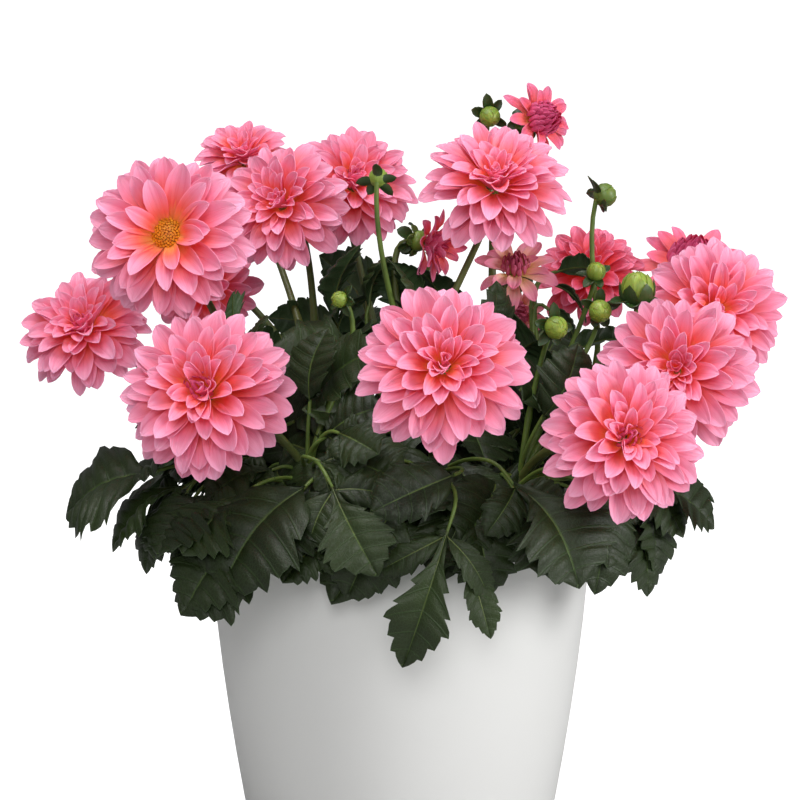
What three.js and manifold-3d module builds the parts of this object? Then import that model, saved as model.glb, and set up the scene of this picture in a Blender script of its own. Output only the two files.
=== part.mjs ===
// A potted dahlia: a bushy plant of ten leafy stems with double pink flower heads, in a tapered white pot.
// Millimetres, +Z up. The viewer stands on the -Y side, and the origin is under the middle of the pot.
import * as THREE from 'three';
import { mergeVertices } from 'three/addons/utils/BufferGeometryUtils.js';
import Module from 'manifold-3d';

const wasm = await Module();
wasm.setup();

// Pot and potting mix
const POT_HEIGHT = 240;
const RIM_RADIUS = 128.4;
const FOOT_RADIUS = 98;
const POT_WALL = 4;
const POT_FLOOR = 5;
const POT_BULGE = 1.6; // the power of the side's curve: 1 is a plain cone
const POT_SIDES = 24;
const DRAIN_HOLES = 4;
const DRAIN_RADIUS = 7;
const DRAIN_CIRCLE = 55;
const SOIL_TOP = 214;
const SOIL_LUMP = 2.6;
const SEAT_GAP = 0.3; // between pieces that touch

// Stems
const STALK_RADIUS = 4.2;
const STALK_FOOT = 190; // the height of the stalks' lower ends, inside the potting mix
const STALK_SIDES = 5;
const STALK_STEPS = 4;
const THIN_SIDES = 4; // of flower and bud stems
const THIN_STEPS = 4;
const FLOWER_STEM_RADIUS = 2.3;
const BUD_STEM_RADIUS = 1.9;
const LEAF_STEM_WIDTH = 3;
const LEAF_STEM_DEPTH = 2.6;
const LEAF_STEM_STEPS = 2;

// Flower heads
const PETAL_HALF_WIDTH = 10; // the widest petals
const PETAL_THICKNESS = 1.5;
const PETAL_CUP = 0.36; // how far a petal's edges stand above its middle, as a share of its half width
const PETAL_WIDEST = 0.66; // where a petal is widest, as a share of its length
const CALYX_RADIUS = 6.5;
const CALYX_DEPTH = 8;
const CALYX_REACH = 16; // out to the tips of its turned back bracts
const BRACTS = 4;
const DISC_HEIGHT = 6;
const DISC_SIDES = 14;
const FLORET_HEIGHT = 1.6; // how far every other floret at the disc's edge stands up

// Leaves
const LEAF_THICKNESS = 1;
const LEAF_FOLD = 0.24; // how far the margins rise, as a share of their distance from the rib
const LEAF_ARCH = 0.1; // how far the rib bows upwards, as a share of the leaf's length
const LEAF_DROOP = 0.12; // how far the tip hangs, as a share of the leaf's length
const LEAF_OPENING = 1.2; // how far the upper faces look outwards: 0 is straight up
const SIDE_LEAFLET_ANGLE = 60;

const COLOURS = {
  pot: { color: 0xe6e6e3, roughness: 0.35, metalness: 0 },
  soil: { color: 0x2b211a, roughness: 0.95, metalness: 0 },
  foliage: { color: 0x2c4a2a, roughness: 0.55, metalness: 0 },
  petals: { color: 0xf286a0, roughness: 0.6, metalness: 0 },
  youngPetals: { color: 0xc44672, roughness: 0.6, metalness: 0 },
  disc: { color: 0xf2b02a, roughness: 0.8, metalness: 0 },
};

// The forms of a flower head. Each ring of petals has its angle from the way that the head faces, in
// degrees, and its reach as a share of the head's. heart is the core's radius as a share of the reach.
const FORMS = {
  full: { around: 8, angles: [16, 35, 56, 78, 101], reaches: [0.52, 0.7, 0.86, 0.98, 1], heart: 0.25 },
  small: { around: 7, angles: [16, 35, 56, 78, 101], reaches: [0.52, 0.7, 0.86, 0.98, 1], heart: 0.25 },
  plain: { around: 7, angles: [18, 44, 72, 100], reaches: [0.56, 0.78, 0.95, 1], heart: 0.26 },
  open: { around: 9, angles: [46, 64, 82, 101], reaches: [0.86, 0.95, 1, 0.98], heart: 0.33, isOpen: true },
  opening: { around: 6, angles: [13, 33, 66], reaches: [0.72, 0.8, 1], heart: 0.3 },
  star: { around: 7, angles: [15, 66, 88], reaches: [0.5, 0.86, 1], heart: 0.26 },
};

// Every flower head: the middle of its core, the way that it faces, and how far its widest petals reach.
const BLOOMS = {
  bloom_front: { heart: [27, -150, 346], faces: [0.03, -0.95, 0.3], reach: 58, form: 'full' },
  bloom_left_lower: { heart: [-121, -120, 326], faces: [-0.2, -0.93, 0.28], reach: 58, form: 'full' },
  bloom_right_lower: { heart: [138, -145, 301], faces: [0.25, -0.95, 0.18], reach: 54, form: 'full' },
  bloom_open_centre: { heart: [-148, -60, 421], faces: [-0.1, -0.93, 0.3], reach: 57, form: 'open' },
  bloom_far_left: { heart: [-206, -20, 353], faces: [-0.22, -0.82, 0.53], reach: 46, form: 'small' },
  bloom_left_upper: { heart: [-76, 5, 435], faces: [-0.35, -0.9, 0.25], reach: 46, form: 'small' },
  bloom_middle_upper: { heart: [-33, 85, 441], faces: [0.2, -0.84, 0.5], reach: 47, form: 'small' },
  bloom_top_left: { heart: [-108, 125, 455], faces: [-0.15, -0.65, 0.75], reach: 38, form: 'plain' },
  bloom_left_inner: { heart: [-131, 55, 376], faces: [-0.3, -0.85, -0.2], reach: 40, form: 'plain' },
  bloom_top_right: { heart: [62, -20, 447], faces: [0.08, -0.75, 0.65], reach: 52, form: 'full' },
  bloom_right_middle: { heart: [180, -75, 337], faces: [-0.25, -0.92, 0.25], reach: 49, form: 'small' },
  bloom_far_right: { heart: [207, 0, 366], faces: [0.3, -0.9, 0.3], reach: 49, form: 'small' },
  bloom_right_inner: { heart: [132, 95, 379], faces: [-0.1, -0.8, 0.5], reach: 40, form: 'plain' },
  bloom_back_low: { heart: [22, 170, 323], faces: [0.1, 0.9, 0.4], reach: 44, form: 'plain' },
  bloom_back_right: { heart: [170, 130, 290], faces: [0.6, 0.75, 0.3], reach: 42, form: 'plain' },
  bloom_back_high: { heart: [-39, 185, 426], faces: [-0.1, 0.85, 0.5], reach: 44, form: 'plain' },
  opening_bloom_right: { heart: [201, 95, 378], faces: [0.1, -0.5, 0.75], reach: 44, form: 'opening' },
  opening_bloom_top: { heart: [89, 40, 490], faces: [0.6, -0.7, 0.25], reach: 29, form: 'opening' },
  opening_bloom_side: { heart: [15, 20, 411], faces: [0.85, -0.45, -0.15], reach: 31, form: 'opening' },
  opening_bloom_star: { heart: [77, 15, 389], faces: [0, -0.62, 0.75], reach: 31, form: 'star' },
  opening_bloom_low: { heart: [84, 66, 357], faces: [-0.5, -0.8, 0.1], reach: 22, form: 'opening' },
};

// Every round green bud: its middle, the way that it points, and its radius.
const BUDS = {
  bud_top: { heart: [60, 30, 494], faces: [0, -0.2, 1], radius: 6.5 },
  bud_middle: { heart: [-14, -40, 458], faces: [0.1, -0.5, 0.8], radius: 6 },
  bud_right_high: { heart: [136, 10, 443], faces: [0.3, -0.3, 0.9], radius: 7.5 },
  bud_left_low: { heart: [-39, -60, 381], faces: [-0.3, -0.3, 0.9], radius: 5 },
  bud_right_low: { heart: [100, -80, 365], faces: [0.1, -0.4, 0.9], radius: 7 },
  bud_right_small: { heart: [130, -48, 372], faces: [-0.2, -0.5, 0.8], radius: 7 },
  bud_right_large: { heart: [154, -48, 386], faces: [0, -0.2, 1], radius: 10.5 },
  bud_right_inner: { heart: [130, 0, 393], faces: [0.1, -0.5, 0.8], radius: 6 },
};

// Every leafy stem: where its stalk stands in the potting mix, where it forks, the heads and buds that it
// carries, and its leaves. A leaf leaves the stalk at a share of its way. base and tip are the ends of its
// end leaflet, width is that leaflet's, and side is the length of its side leaflets as a share of its own,
// or 0 for a simple leaf.
const STEMS = {
  stem_front: {
    foot: [8, -58], fork: [20, -78, 272], heads: ['bloom_front'], buds: [],
    leaves: [
      { at: 0.6, base: [33, -150, 256], tip: [1, -170, 163], width: 48, side: 0.5 },
      { at: 0.8, base: [34, -132, 278], tip: [-16, -160, 264], width: 38, side: 0 },
      { at: 0.7, base: [66, -122, 278], tip: [114, -166, 217], width: 70, side: 0.42 },
      { at: 0.5, base: [-2, -126, 258], tip: [-34, -152, 206], width: 50, side: 0 },
      { at: 0.5, base: [58, -136, 252], tip: [70, -160, 196], width: 34, side: 0 },
    ],
  },
  stem_front_left: {
    foot: [-38, -48], fork: [-60, -70, 270], heads: ['bloom_left_lower'], buds: ['bud_left_low'],
    leaves: [
      { at: 0.75, base: [-46, -128, 276], tip: [-14, -164, 222], width: 46, side: 0.56 },
      { at: 0.5, base: [-60, -116, 268], tip: [-118, -154, 214], width: 70, side: 0 },
      { at: 0.35, base: [-94, -108, 248], tip: [-148, -140, 190], width: 58, side: 0 },
      { at: 0.95, base: [-52, -84, 292], tip: [-14, -104, 320], width: 42, side: 0.4 },
      { at: 1, base: [-58, -72, 316], tip: [-53, -66, 364], width: 38, side: 0 },
    ],
  },
  stem_left: {
    foot: [-68, -8], fork: [-92, -22, 285], heads: ['bloom_open_centre', 'bloom_far_left'], buds: [],
    leaves: [
      { at: 0.6, base: [-136, -58, 270], tip: [-228, -44, 246], width: 62, side: 0.5 },
      { at: 0.5, base: [-134, -66, 262], tip: [-172, -84, 212], width: 50, side: 0.4 },
      { at: 0.95, base: [-92, -20, 340], tip: [-114, -40, 382], width: 44, side: 0.45 },
      { at: 0.8, base: [-106, -30, 296], tip: [-172, -52, 304], width: 56, side: 0 },
    ],
  },
  stem_left_back: {
    foot: [-48, 38], fork: [-54, 38, 305],
    heads: ['bloom_left_upper', 'bloom_left_inner', 'bloom_top_left'], buds: [],
    leaves: [
      { at: 0.95, base: [-43, 20, 345], tip: [-34, 8, 412], width: 50, side: 0.45 },
      { at: 0.85, base: [-70, 14, 308], tip: [-122, -4, 346], width: 56, side: 0 },
      { at: 0.6, base: [-100, 70, 268], tip: [-174, 110, 250], width: 58, side: 0.5 },
      { at: 0.5, base: [-128, 22, 256], tip: [-200, 32, 218], width: 60, side: 0 },
    ],
  },
  stem_back: {
    foot: [-8, 62], fork: [-12, 72, 310],
    heads: ['bloom_middle_upper', 'bloom_back_high'], buds: ['bud_top'],
    leaves: [
      { at: 0.5, base: [-25, 128, 256], tip: [-42, 202, 220], width: 58, side: 0.5 },
      { at: 0.95, base: [-22, 92, 350], tip: [-48, 130, 392], width: 50, side: 0 },
      { at: 0.75, base: [-50, 120, 300], tip: [-92, 180, 308], width: 54, side: 0.5 },
      { at: 0.45, base: [-76, 112, 256], tip: [-126, 164, 208], width: 60, side: 0 },
    ],
  },
  stem_centre: {
    foot: [8, -2], fork: [8, -6, 300],
    heads: ['bloom_top_right', 'opening_bloom_side'], buds: ['bud_middle'],
    leaves: [
      { at: 0.95, base: [10, 0, 345], tip: [2, -8, 404], width: 48, side: 0.5 },
      { at: 0.9, base: [40, -22, 338], tip: [70, -38, 384], width: 46, side: 0.45 },
      { at: 0.8, base: [-20, -24, 318], tip: [-80, -48, 350], width: 56, side: 0 },
      { at: 0.7, base: [-14, -34, 288], tip: [-46, -84, 270], width: 54, side: 0 },
      { at: 0.7, base: [32, -28, 296], tip: [60, -84, 288], width: 54, side: 0 },
    ],
  },
  stem_right_back: {
    foot: [42, 45], fork: [62, 52, 305],
    heads: ['opening_bloom_top', 'bloom_right_inner', 'opening_bloom_low', 'opening_bloom_star'], buds: [],
    leaves: [
      { at: 0.95, base: [34, 40, 345], tip: [18, 38, 394], width: 44, side: 0 },
      { at: 0.7, base: [86, 90, 304], tip: [122, 142, 346], width: 50, side: 0.4 },
      { at: 0.85, base: [66, 24, 330], tip: [96, -14, 356], width: 50, side: 0 },
    ],
  },
  stem_right: {
    foot: [68, 8], fork: [98, 14, 290], heads: ['bloom_far_right', 'opening_bloom_right'],
    buds: ['bud_right_high', 'bud_right_inner'],
    leaves: [
      { at: 0.95, base: [112, -8, 338], tip: [162, -20, 354], width: 40, side: 0 },
      { at: 0.8, base: [112, -10, 300], tip: [154, -38, 302], width: 52, side: 0 },
      { at: 0.55, base: [138, 18, 262], tip: [216, 34, 238], width: 58, side: 0.5 },
    ],
  },
  stem_front_right: {
    foot: [48, -45], fork: [78, -62, 265], heads: ['bloom_right_lower', 'bloom_right_middle'],
    buds: ['bud_right_low', 'bud_right_small', 'bud_right_large'],
    leaves: [
      { at: 0.6, base: [124, -104, 266], tip: [128, -140, 206], width: 46, side: 0 },
      { at: 0.8, base: [152, -66, 266], tip: [208, -66, 238], width: 54, side: 0.5 },
      { at: 0.5, base: [140, -84, 254], tip: [166, -102, 198], width: 46, side: 0.45 },
      { at: 0.95, base: [92, -72, 306], tip: [118, -78, 352], width: 46, side: 0 },
    ],
  },
  stem_back_right: {
    foot: [28, 92], fork: [62, 112, 268], heads: ['bloom_back_low', 'bloom_back_right'], buds: [],
    leaves: [
      { at: 0.6, base: [44, 142, 254], tip: [54, 212, 216], width: 56, side: 0.5 },
      { at: 0.7, base: [112, 112, 258], tip: [176, 144, 222], width: 58, side: 0.5 },
      { at: 0.9, base: [62, 128, 305], tip: [74, 172, 332], width: 50, side: 0 },
    ],
  },
};

const UP = new THREE.Vector3(0, 0, 1);
const point = (array) => new THREE.Vector3(...array);
const degrees = (angle) => THREE.MathUtils.degToRad(angle);

// A seeded random number from 0 to 1, so that the plant is the same each time.
function seededRandom(seed) {
  let state = seed;
  return () => {
    state = (state * 1664525 + 1013904223) % 4294967296;
    return state / 4294967296;
  };
}

// A geometry from points and faces of three point numbers each.
function facetedGeometry(points, faces) {
  const geometry = new THREE.BufferGeometry();
  const places = points.flatMap((place) => place.toArray());
  geometry.setAttribute('position', new THREE.Float32BufferAttribute(places, 3));
  geometry.setIndex(faces.flat());
  return geometry;
}

function toSolid(geometry) {
  const bare = new THREE.BufferGeometry();
  bare.setAttribute('position', geometry.getAttribute('position'));
  if (geometry.index) bare.setIndex(geometry.index);
  const merged = mergeVertices(bare, 1e-3);
  return new wasm.Manifold(new wasm.Mesh({
    numProp: 3,
    vertProperties: new Float32Array(merged.getAttribute('position').array),
    triVerts: new Uint32Array(merged.index.array),
  }));
}

function toGeometry(solid) {
  const mesh = solid.getMesh();
  const geometry = new THREE.BufferGeometry();
  geometry.setAttribute('position', new THREE.BufferAttribute(mesh.vertProperties, 3));
  geometry.setIndex(new THREE.BufferAttribute(mesh.triVerts, 1));
  return geometry;
}

function namedMesh(name, geometry, look) {
  geometry.computeVertexNormals();
  const mesh = new THREE.Mesh(geometry, new THREE.MeshStandardMaterial({ ...look, flatShading: true }));
  mesh.name = name;
  return mesh;
}

// A closed tube of equal radius along a curve.
function tubeSolid(curve, radius, sides, steps) {
  const corners = [];
  for (let i = 0; i < sides; i++) {
    const angle = (2 * Math.PI * i) / sides;
    corners.push(new THREE.Vector2(radius * Math.cos(angle), radius * Math.sin(angle)));
  }
  const options = { steps, extrudePath: curve, bevelEnabled: false, curveSegments: 1 };
  return toSolid(new THREE.ExtrudeGeometry(new THREE.Shape(corners), options));
}

// The pot

function potRadius(height) {
  const drop = Math.pow((POT_HEIGHT - height) / POT_HEIGHT, POT_BULGE);
  return RIM_RADIUS - (RIM_RADIUS - FOOT_RADIUS) * drop;
}

// The pot's inner wall is straight between these heights, and the potting mix follows it.
const WALL_HEIGHTS = [SOIL_TOP, 130, POT_FLOOR];

function pot() {
  const profile = [new THREE.Vector2(0, 0)];
  for (const height of [0, 60, 130, 190, POT_HEIGHT - 2]) {
    profile.push(new THREE.Vector2(potRadius(height), height));
  }
  profile.push(new THREE.Vector2(RIM_RADIUS - POT_WALL / 2, POT_HEIGHT));
  for (const height of [POT_HEIGHT - 2, ...WALL_HEIGHTS]) {
    profile.push(new THREE.Vector2(potRadius(height) - POT_WALL, height));
  }
  profile.push(new THREE.Vector2(0, POT_FLOOR));
  let solid = toSolid(new THREE.LatheGeometry(profile, POT_SIDES).rotateX(Math.PI / 2));
  for (let i = 0; i < DRAIN_HOLES; i++) {
    const angle = (2 * Math.PI * (i + 0.5)) / DRAIN_HOLES;
    const drill = new THREE.CylinderGeometry(DRAIN_RADIUS, DRAIN_RADIUS, 4 * POT_FLOOR, 8);
    drill.rotateX(Math.PI / 2).translate(DRAIN_CIRCLE * Math.cos(angle), DRAIN_CIRCLE * Math.sin(angle), 0);
    solid = solid.subtract(toSolid(drill));
  }
  return namedMesh('pot', toGeometry(solid), COLOURS.pot);
}

// The potting mix: it fills the pot, its top is lumpy, and each stalk stands in a plain hole in it.
function soil() {
  const inside = (height) => potRadius(height) - POT_WALL - 1.5 * SEAT_GAP;
  const floor = POT_FLOOR + SEAT_GAP;
  const profile = [new THREE.Vector2(0, floor), new THREE.Vector2(inside(POT_FLOOR), floor)];
  for (const height of [...WALL_HEIGHTS].reverse().slice(1)) {
    profile.push(new THREE.Vector2(inside(height), height));
  }
  for (const share of [0.67, 0.33]) profile.push(new THREE.Vector2(share * inside(SOIL_TOP), SOIL_TOP));
  profile.push(new THREE.Vector2(0, SOIL_TOP));
  const lathe = new THREE.LatheGeometry(profile, POT_SIDES).rotateX(Math.PI / 2);
  const place = lathe.getAttribute('position');
  for (let i = 0; i < place.count; i++) {
    const x = place.getX(i);
    const y = place.getY(i);
    if (place.getZ(i) > SOIL_TOP - 1 && Math.hypot(x, y) < inside(SOIL_TOP) - 1) {
      const lump = Math.sin(x * 0.11 + 1) * Math.cos(y * 0.13) + 0.5 * Math.sin(x * 0.31 - y * 0.27);
      place.setZ(i, SOIL_TOP + SOIL_LUMP * lump);
    }
  }
  let solid = toSolid(lathe);
  for (const stem of Object.values(STEMS)) {
    const way = stalkCurve(stem, STALK_FOOT - SEAT_GAP);
    solid = solid.subtract(tubeSolid(way, STALK_RADIUS + 2 * SEAT_GAP, STALK_SIDES, STALK_STEPS));
  }
  return namedMesh('soil', toGeometry(solid), COLOURS.soil);
}

// Flower heads

// A place round a head's core: at an angle from the way that it faces, at a turn round that way, and at a
// distance.
function around(angle, turn, distance) {
  const reach = distance * Math.sin(angle);
  return new THREE.Vector3(reach * Math.cos(turn), reach * Math.sin(turn), distance * Math.cos(angle));
}

// The angles of a head's flat underside, and of the edge of its middle.
const undersideAngle = (form) => degrees(form.angles.at(-1) + 30);
const middleAngle = (form) => degrees(form.angles[0] * (form.isOpen ? 0.74 : 0.45));

// The height of a head's flat underside above its heart, along the way that it faces.
function undersideOf(bloom) {
  const form = FORMS[bloom.form];
  return form.heart * bloom.reach * Math.cos(undersideAngle(form));
}

// The head's core is covered with diamond cells, one for each petal, and each cell grows out into that
// petal: a diamond root, a wide cupped section and a pointed tip. Rings of petals are staggered by half a
// petal. The youngest petals stand round the middle as plain spikes, unless the head is open.
function bloomGeometry(bloom, seed) {
  const form = FORMS[bloom.form];
  const random = seededRandom(seed);
  const core = form.heart * bloom.reach;
  const rings = form.angles.length;
  const count = form.around;
  const edges = [middleAngle(form), ...form.angles.map(degrees), undersideAngle(form)];
  const points = [];
  const faces = [];
  const corner = (ring, i) => ring * count + ((i % count) + count) % count;
  const middleTurn = (ring, i) => ((i + 0.5 * (ring % 2)) * 2 * Math.PI) / count;
  edges.forEach((angle, ring) => {
    for (let i = 0; i < count; i++) {
      points.push(around(angle, middleTurn(ring, i) + Math.PI / count, core));
    }
  });
  for (let ring = 1; ring <= rings; ring++) {
    const angle = degrees(form.angles[ring - 1]);
    for (let i = 0; i < count; i++) {
      const next = ring % 2 ? i : i - 1;
      const root = [corner(ring, i - 1), corner(ring + 1, next), corner(ring, i), corner(ring - 1, next)];
      const turn = middleTurn(ring, i);
      const tipReach = form.reaches[ring - 1] * bloom.reach * (0.94 + 0.06 * random());
      const tip = around(angle + degrees(2 + 5 * random()), turn + degrees(3 * random() - 1.5), tipReach);
      if (ring === 1 && !form.isOpen) {
        points.push(tip);
        const last = points.length - 1;
        for (let side = 0; side < 4; side++) faces.push([root[side], root[(side + 1) % 4], last]);
        continue;
      }
      const distance = core + PETAL_WIDEST * (tipReach - core);
      const room = (Math.PI * distance * Math.sin(angle)) / count;
      const halfWidth = Math.min(0.9 * room, (PETAL_HALF_WIDTH * bloom.reach) / 50);
      const sideways = new THREE.Vector3(-Math.sin(turn), Math.cos(turn), 0).multiplyScalar(halfWidth);
      const raised = around(angle - (PETAL_CUP * halfWidth) / distance, turn, distance);
      const start = points.length;
      points.push(raised.clone().sub(sideways));
      points.push(around(angle + PETAL_THICKNESS / distance, turn, distance));
      points.push(raised.clone().add(sideways));
      points.push(around(angle, turn, distance));
      points.push(tip);
      for (let side = 0; side < 4; side++) {
        const other = (side + 1) % 4;
        faces.push([root[side], root[other], start + other]);
        faces.push([root[side], start + other, start + side]);
        faces.push([start + side, start + other, start + 4]);
      }
    }
  }
  const top = points.length;
  const topHeight = form.isOpen ? core * Math.cos(edges[0]) : core + 0.12 * bloom.reach;
  points.push(new THREE.Vector3(0, 0, topHeight));
  for (let i = 0; i < count; i++) {
    faces.push([top, corner(0, i), corner(0, i + 1)]);
    faces.push([corner(0, i), corner(1, i), corner(0, i + 1)]);
    const last = rings % 2 ? i : i + 1;
    faces.push([corner(rings, last), corner(rings + 1, i), corner(rings + 1, i + 1)]);
  }
  for (let i = 1; i < count - 1; i++) {
    faces.push([corner(rings + 1, 0), corner(rings + 1, i + 1), corner(rings + 1, i)]);
  }
  return facetedGeometry(points, faces);
}

function facing(mesh, head) {
  mesh.position.set(...head.heart);
  mesh.quaternion.setFromUnitVectors(UP, point(head.faces).normalize());
  return mesh;
}

function blooms() {
  return Object.entries(BLOOMS).map(([name, bloom], i) => {
    const look = name.startsWith('opening') ? COLOURS.youngPetals : COLOURS.petals;
    const solid = toSolid(bloomGeometry(bloom, 11 + 7 * i));
    return facing(namedMesh(name, toGeometry(solid), look), bloom);
  });
}

// The yellow disc of florets in the open head: a low dome whose florets are raised by a formula.
function floretDisc() {
  const bloom = BLOOMS.bloom_open_centre;
  const form = FORMS[bloom.form];
  const core = form.heart * bloom.reach;
  const radius = 0.92 * core * Math.sin(middleAngle(form));
  const profile = [new THREE.Vector2(0, 0), new THREE.Vector2(radius, 0)];
  for (const share of [0.8, 0.4]) {
    profile.push(new THREE.Vector2(radius * share, DISC_HEIGHT * Math.sqrt(1 - share * share)));
  }
  profile.push(new THREE.Vector2(0, DISC_HEIGHT));
  const dome = new THREE.LatheGeometry(profile, DISC_SIDES).rotateX(Math.PI / 2);
  const place = dome.getAttribute('position');
  for (let i = 0; i < place.count; i++) {
    const isRaised = Math.floor(i / profile.length) % 2 && place.getZ(i) > 0;
    const share = Math.hypot(place.getX(i), place.getY(i)) / radius;
    if (isRaised) place.setZ(i, place.getZ(i) + FLORET_HEIGHT * share);
  }
  dome.translate(0, 0, core * Math.cos(middleAngle(form)) + SEAT_GAP);
  return facing(namedMesh('floret_disc', toGeometry(toSolid(dome)), COLOURS.disc), bloom);
}

// Green parts

// A closed body round +Z with a star of bracts: a stack of rings from its top to its bottom, and a pole at
// each end. Each ring has a radius and a height, and the ring of the bracts also has those of their tips.
function starGeometry(topHeight, rings, bottomHeight) {
  const count = 2 * BRACTS;
  const points = [new THREE.Vector3(0, 0, topHeight), new THREE.Vector3(0, 0, bottomHeight)];
  for (const [radius, height, tipRadius = radius, tipHeight = height] of rings) {
    for (let i = 0; i < count; i++) {
      const angle = (2 * Math.PI * i) / count;
      const [reach, z] = i % 2 ? [tipRadius, tipHeight] : [radius, height];
      points.push(new THREE.Vector3(reach * Math.cos(angle), reach * Math.sin(angle), z));
    }
  }
  const corner = (ring, i) => 2 + ring * count + (i % count);
  const faces = [];
  const last = rings.length - 1;
  for (let i = 0; i < count; i++) {
    faces.push([0, corner(0, i), corner(0, i + 1)], [1, corner(last, i + 1), corner(last, i)]);
    for (let ring = 0; ring < last; ring++) {
      faces.push([corner(ring, i), corner(ring + 1, i), corner(ring + 1, i + 1)]);
      faces.push([corner(ring, i), corner(ring + 1, i + 1), corner(ring, i + 1)]);
    }
  }
  return facetedGeometry(points, faces);
}

// Puts a geometry made round +Z where a head or bud is.
function atHead(geometry, head) {
  const turn = new THREE.Quaternion().setFromUnitVectors(UP, point(head.faces).normalize());
  return toSolid(geometry.applyQuaternion(turn).translate(...head.heart));
}

// The green cup under a flower head, with its bracts turned back.
function calyxSolid(bloom) {
  const seat = undersideOf(bloom) - SEAT_GAP;
  const rings = [
    [CALYX_RADIUS - 0.5, seat],
    [CALYX_RADIUS, seat - 1.5, CALYX_REACH, seat - 8],
    [0.75 * CALYX_RADIUS, seat - 0.75 * CALYX_DEPTH],
  ];
  return atHead(starGeometry(seat, rings, seat - CALYX_DEPTH), bloom);
}

// A round bud with its bracts spread under it.
function budSolid(bud) {
  const size = bud.radius;
  const rings = [
    [0.62 * size, 0.66 * size],
    [size, 0],
    [0.85 * size, -0.45 * size, 1.9 * size, -0.35 * size],
    [0.5 * size, -0.85 * size],
  ];
  return atHead(starGeometry(0.9 * size, rings, -size), bud);
}

// The way of a stalk: straight up out of the potting mix, then over to its fork.
function stalkCurve(stem, footHeight) {
  const foot = new THREE.Vector3(...stem.foot, footHeight);
  const fork = point(stem.fork);
  const climb = fork.z - footHeight;
  const rise = foot.clone().addScaledVector(UP, 0.5 * climb);
  const lean = fork.clone().addScaledVector(UP, -0.3 * climb);
  return new THREE.CubicBezierCurve3(foot, rise, lean, fork);
}

// The way of a flower stem: up and away from the stalk, and into the back of the head that it carries.
function flowerStemCurve(start, head, depth) {
  const faces = point(head.faces).normalize();
  const end = point(head.heart).addScaledVector(faces, -depth);
  const span = end.clone().sub(start);
  const length = span.length();
  const leaving = span.clone().normalize().add(UP).normalize();
  const rise = start.clone().addScaledVector(leaving, 0.42 * length);
  const bend = end.clone().addScaledVector(faces, -0.3 * length);
  return new THREE.CubicBezierCurve3(start, rise, bend, end);
}

// Half of a leaf's outline from the base to the tip, with a toothed margin. A compound leaf is cut to the
// rib between its end leaflet and its side leaflet, which leans outwards.
function halfOutline(length, width, side) {
  const margin = [];
  if (side) {
    const angle = degrees(SIDE_LEAFLET_ANGLE);
    const outer = [[0.34, -0.46], [0.46, -0.26], [0.68, -0.38], [1, 0]];
    const inner = [[0.6, 0.3], [0.3, 0.2]];
    for (const [along, across] of [...outer, ...inner]) {
      const x = along * side * length;
      const y = across * side * width;
      margin.push([x * Math.cos(angle) + y * Math.sin(angle), x * Math.sin(angle) - y * Math.cos(angle)]);
    }
    margin.push([0.18 * length, 0.03 * length]);
  }
  const start = side ? 0.2 : 0.02;
  for (const [along, across] of [[0.26, 1], [0.37, 0.78], [0.57, 0.9], [0.66, 0.56], [0.84, 0.46]]) {
    margin.push([(start + along * (1 - start)) * length, (across * width) / 2]);
  }
  return margin;
}

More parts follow.
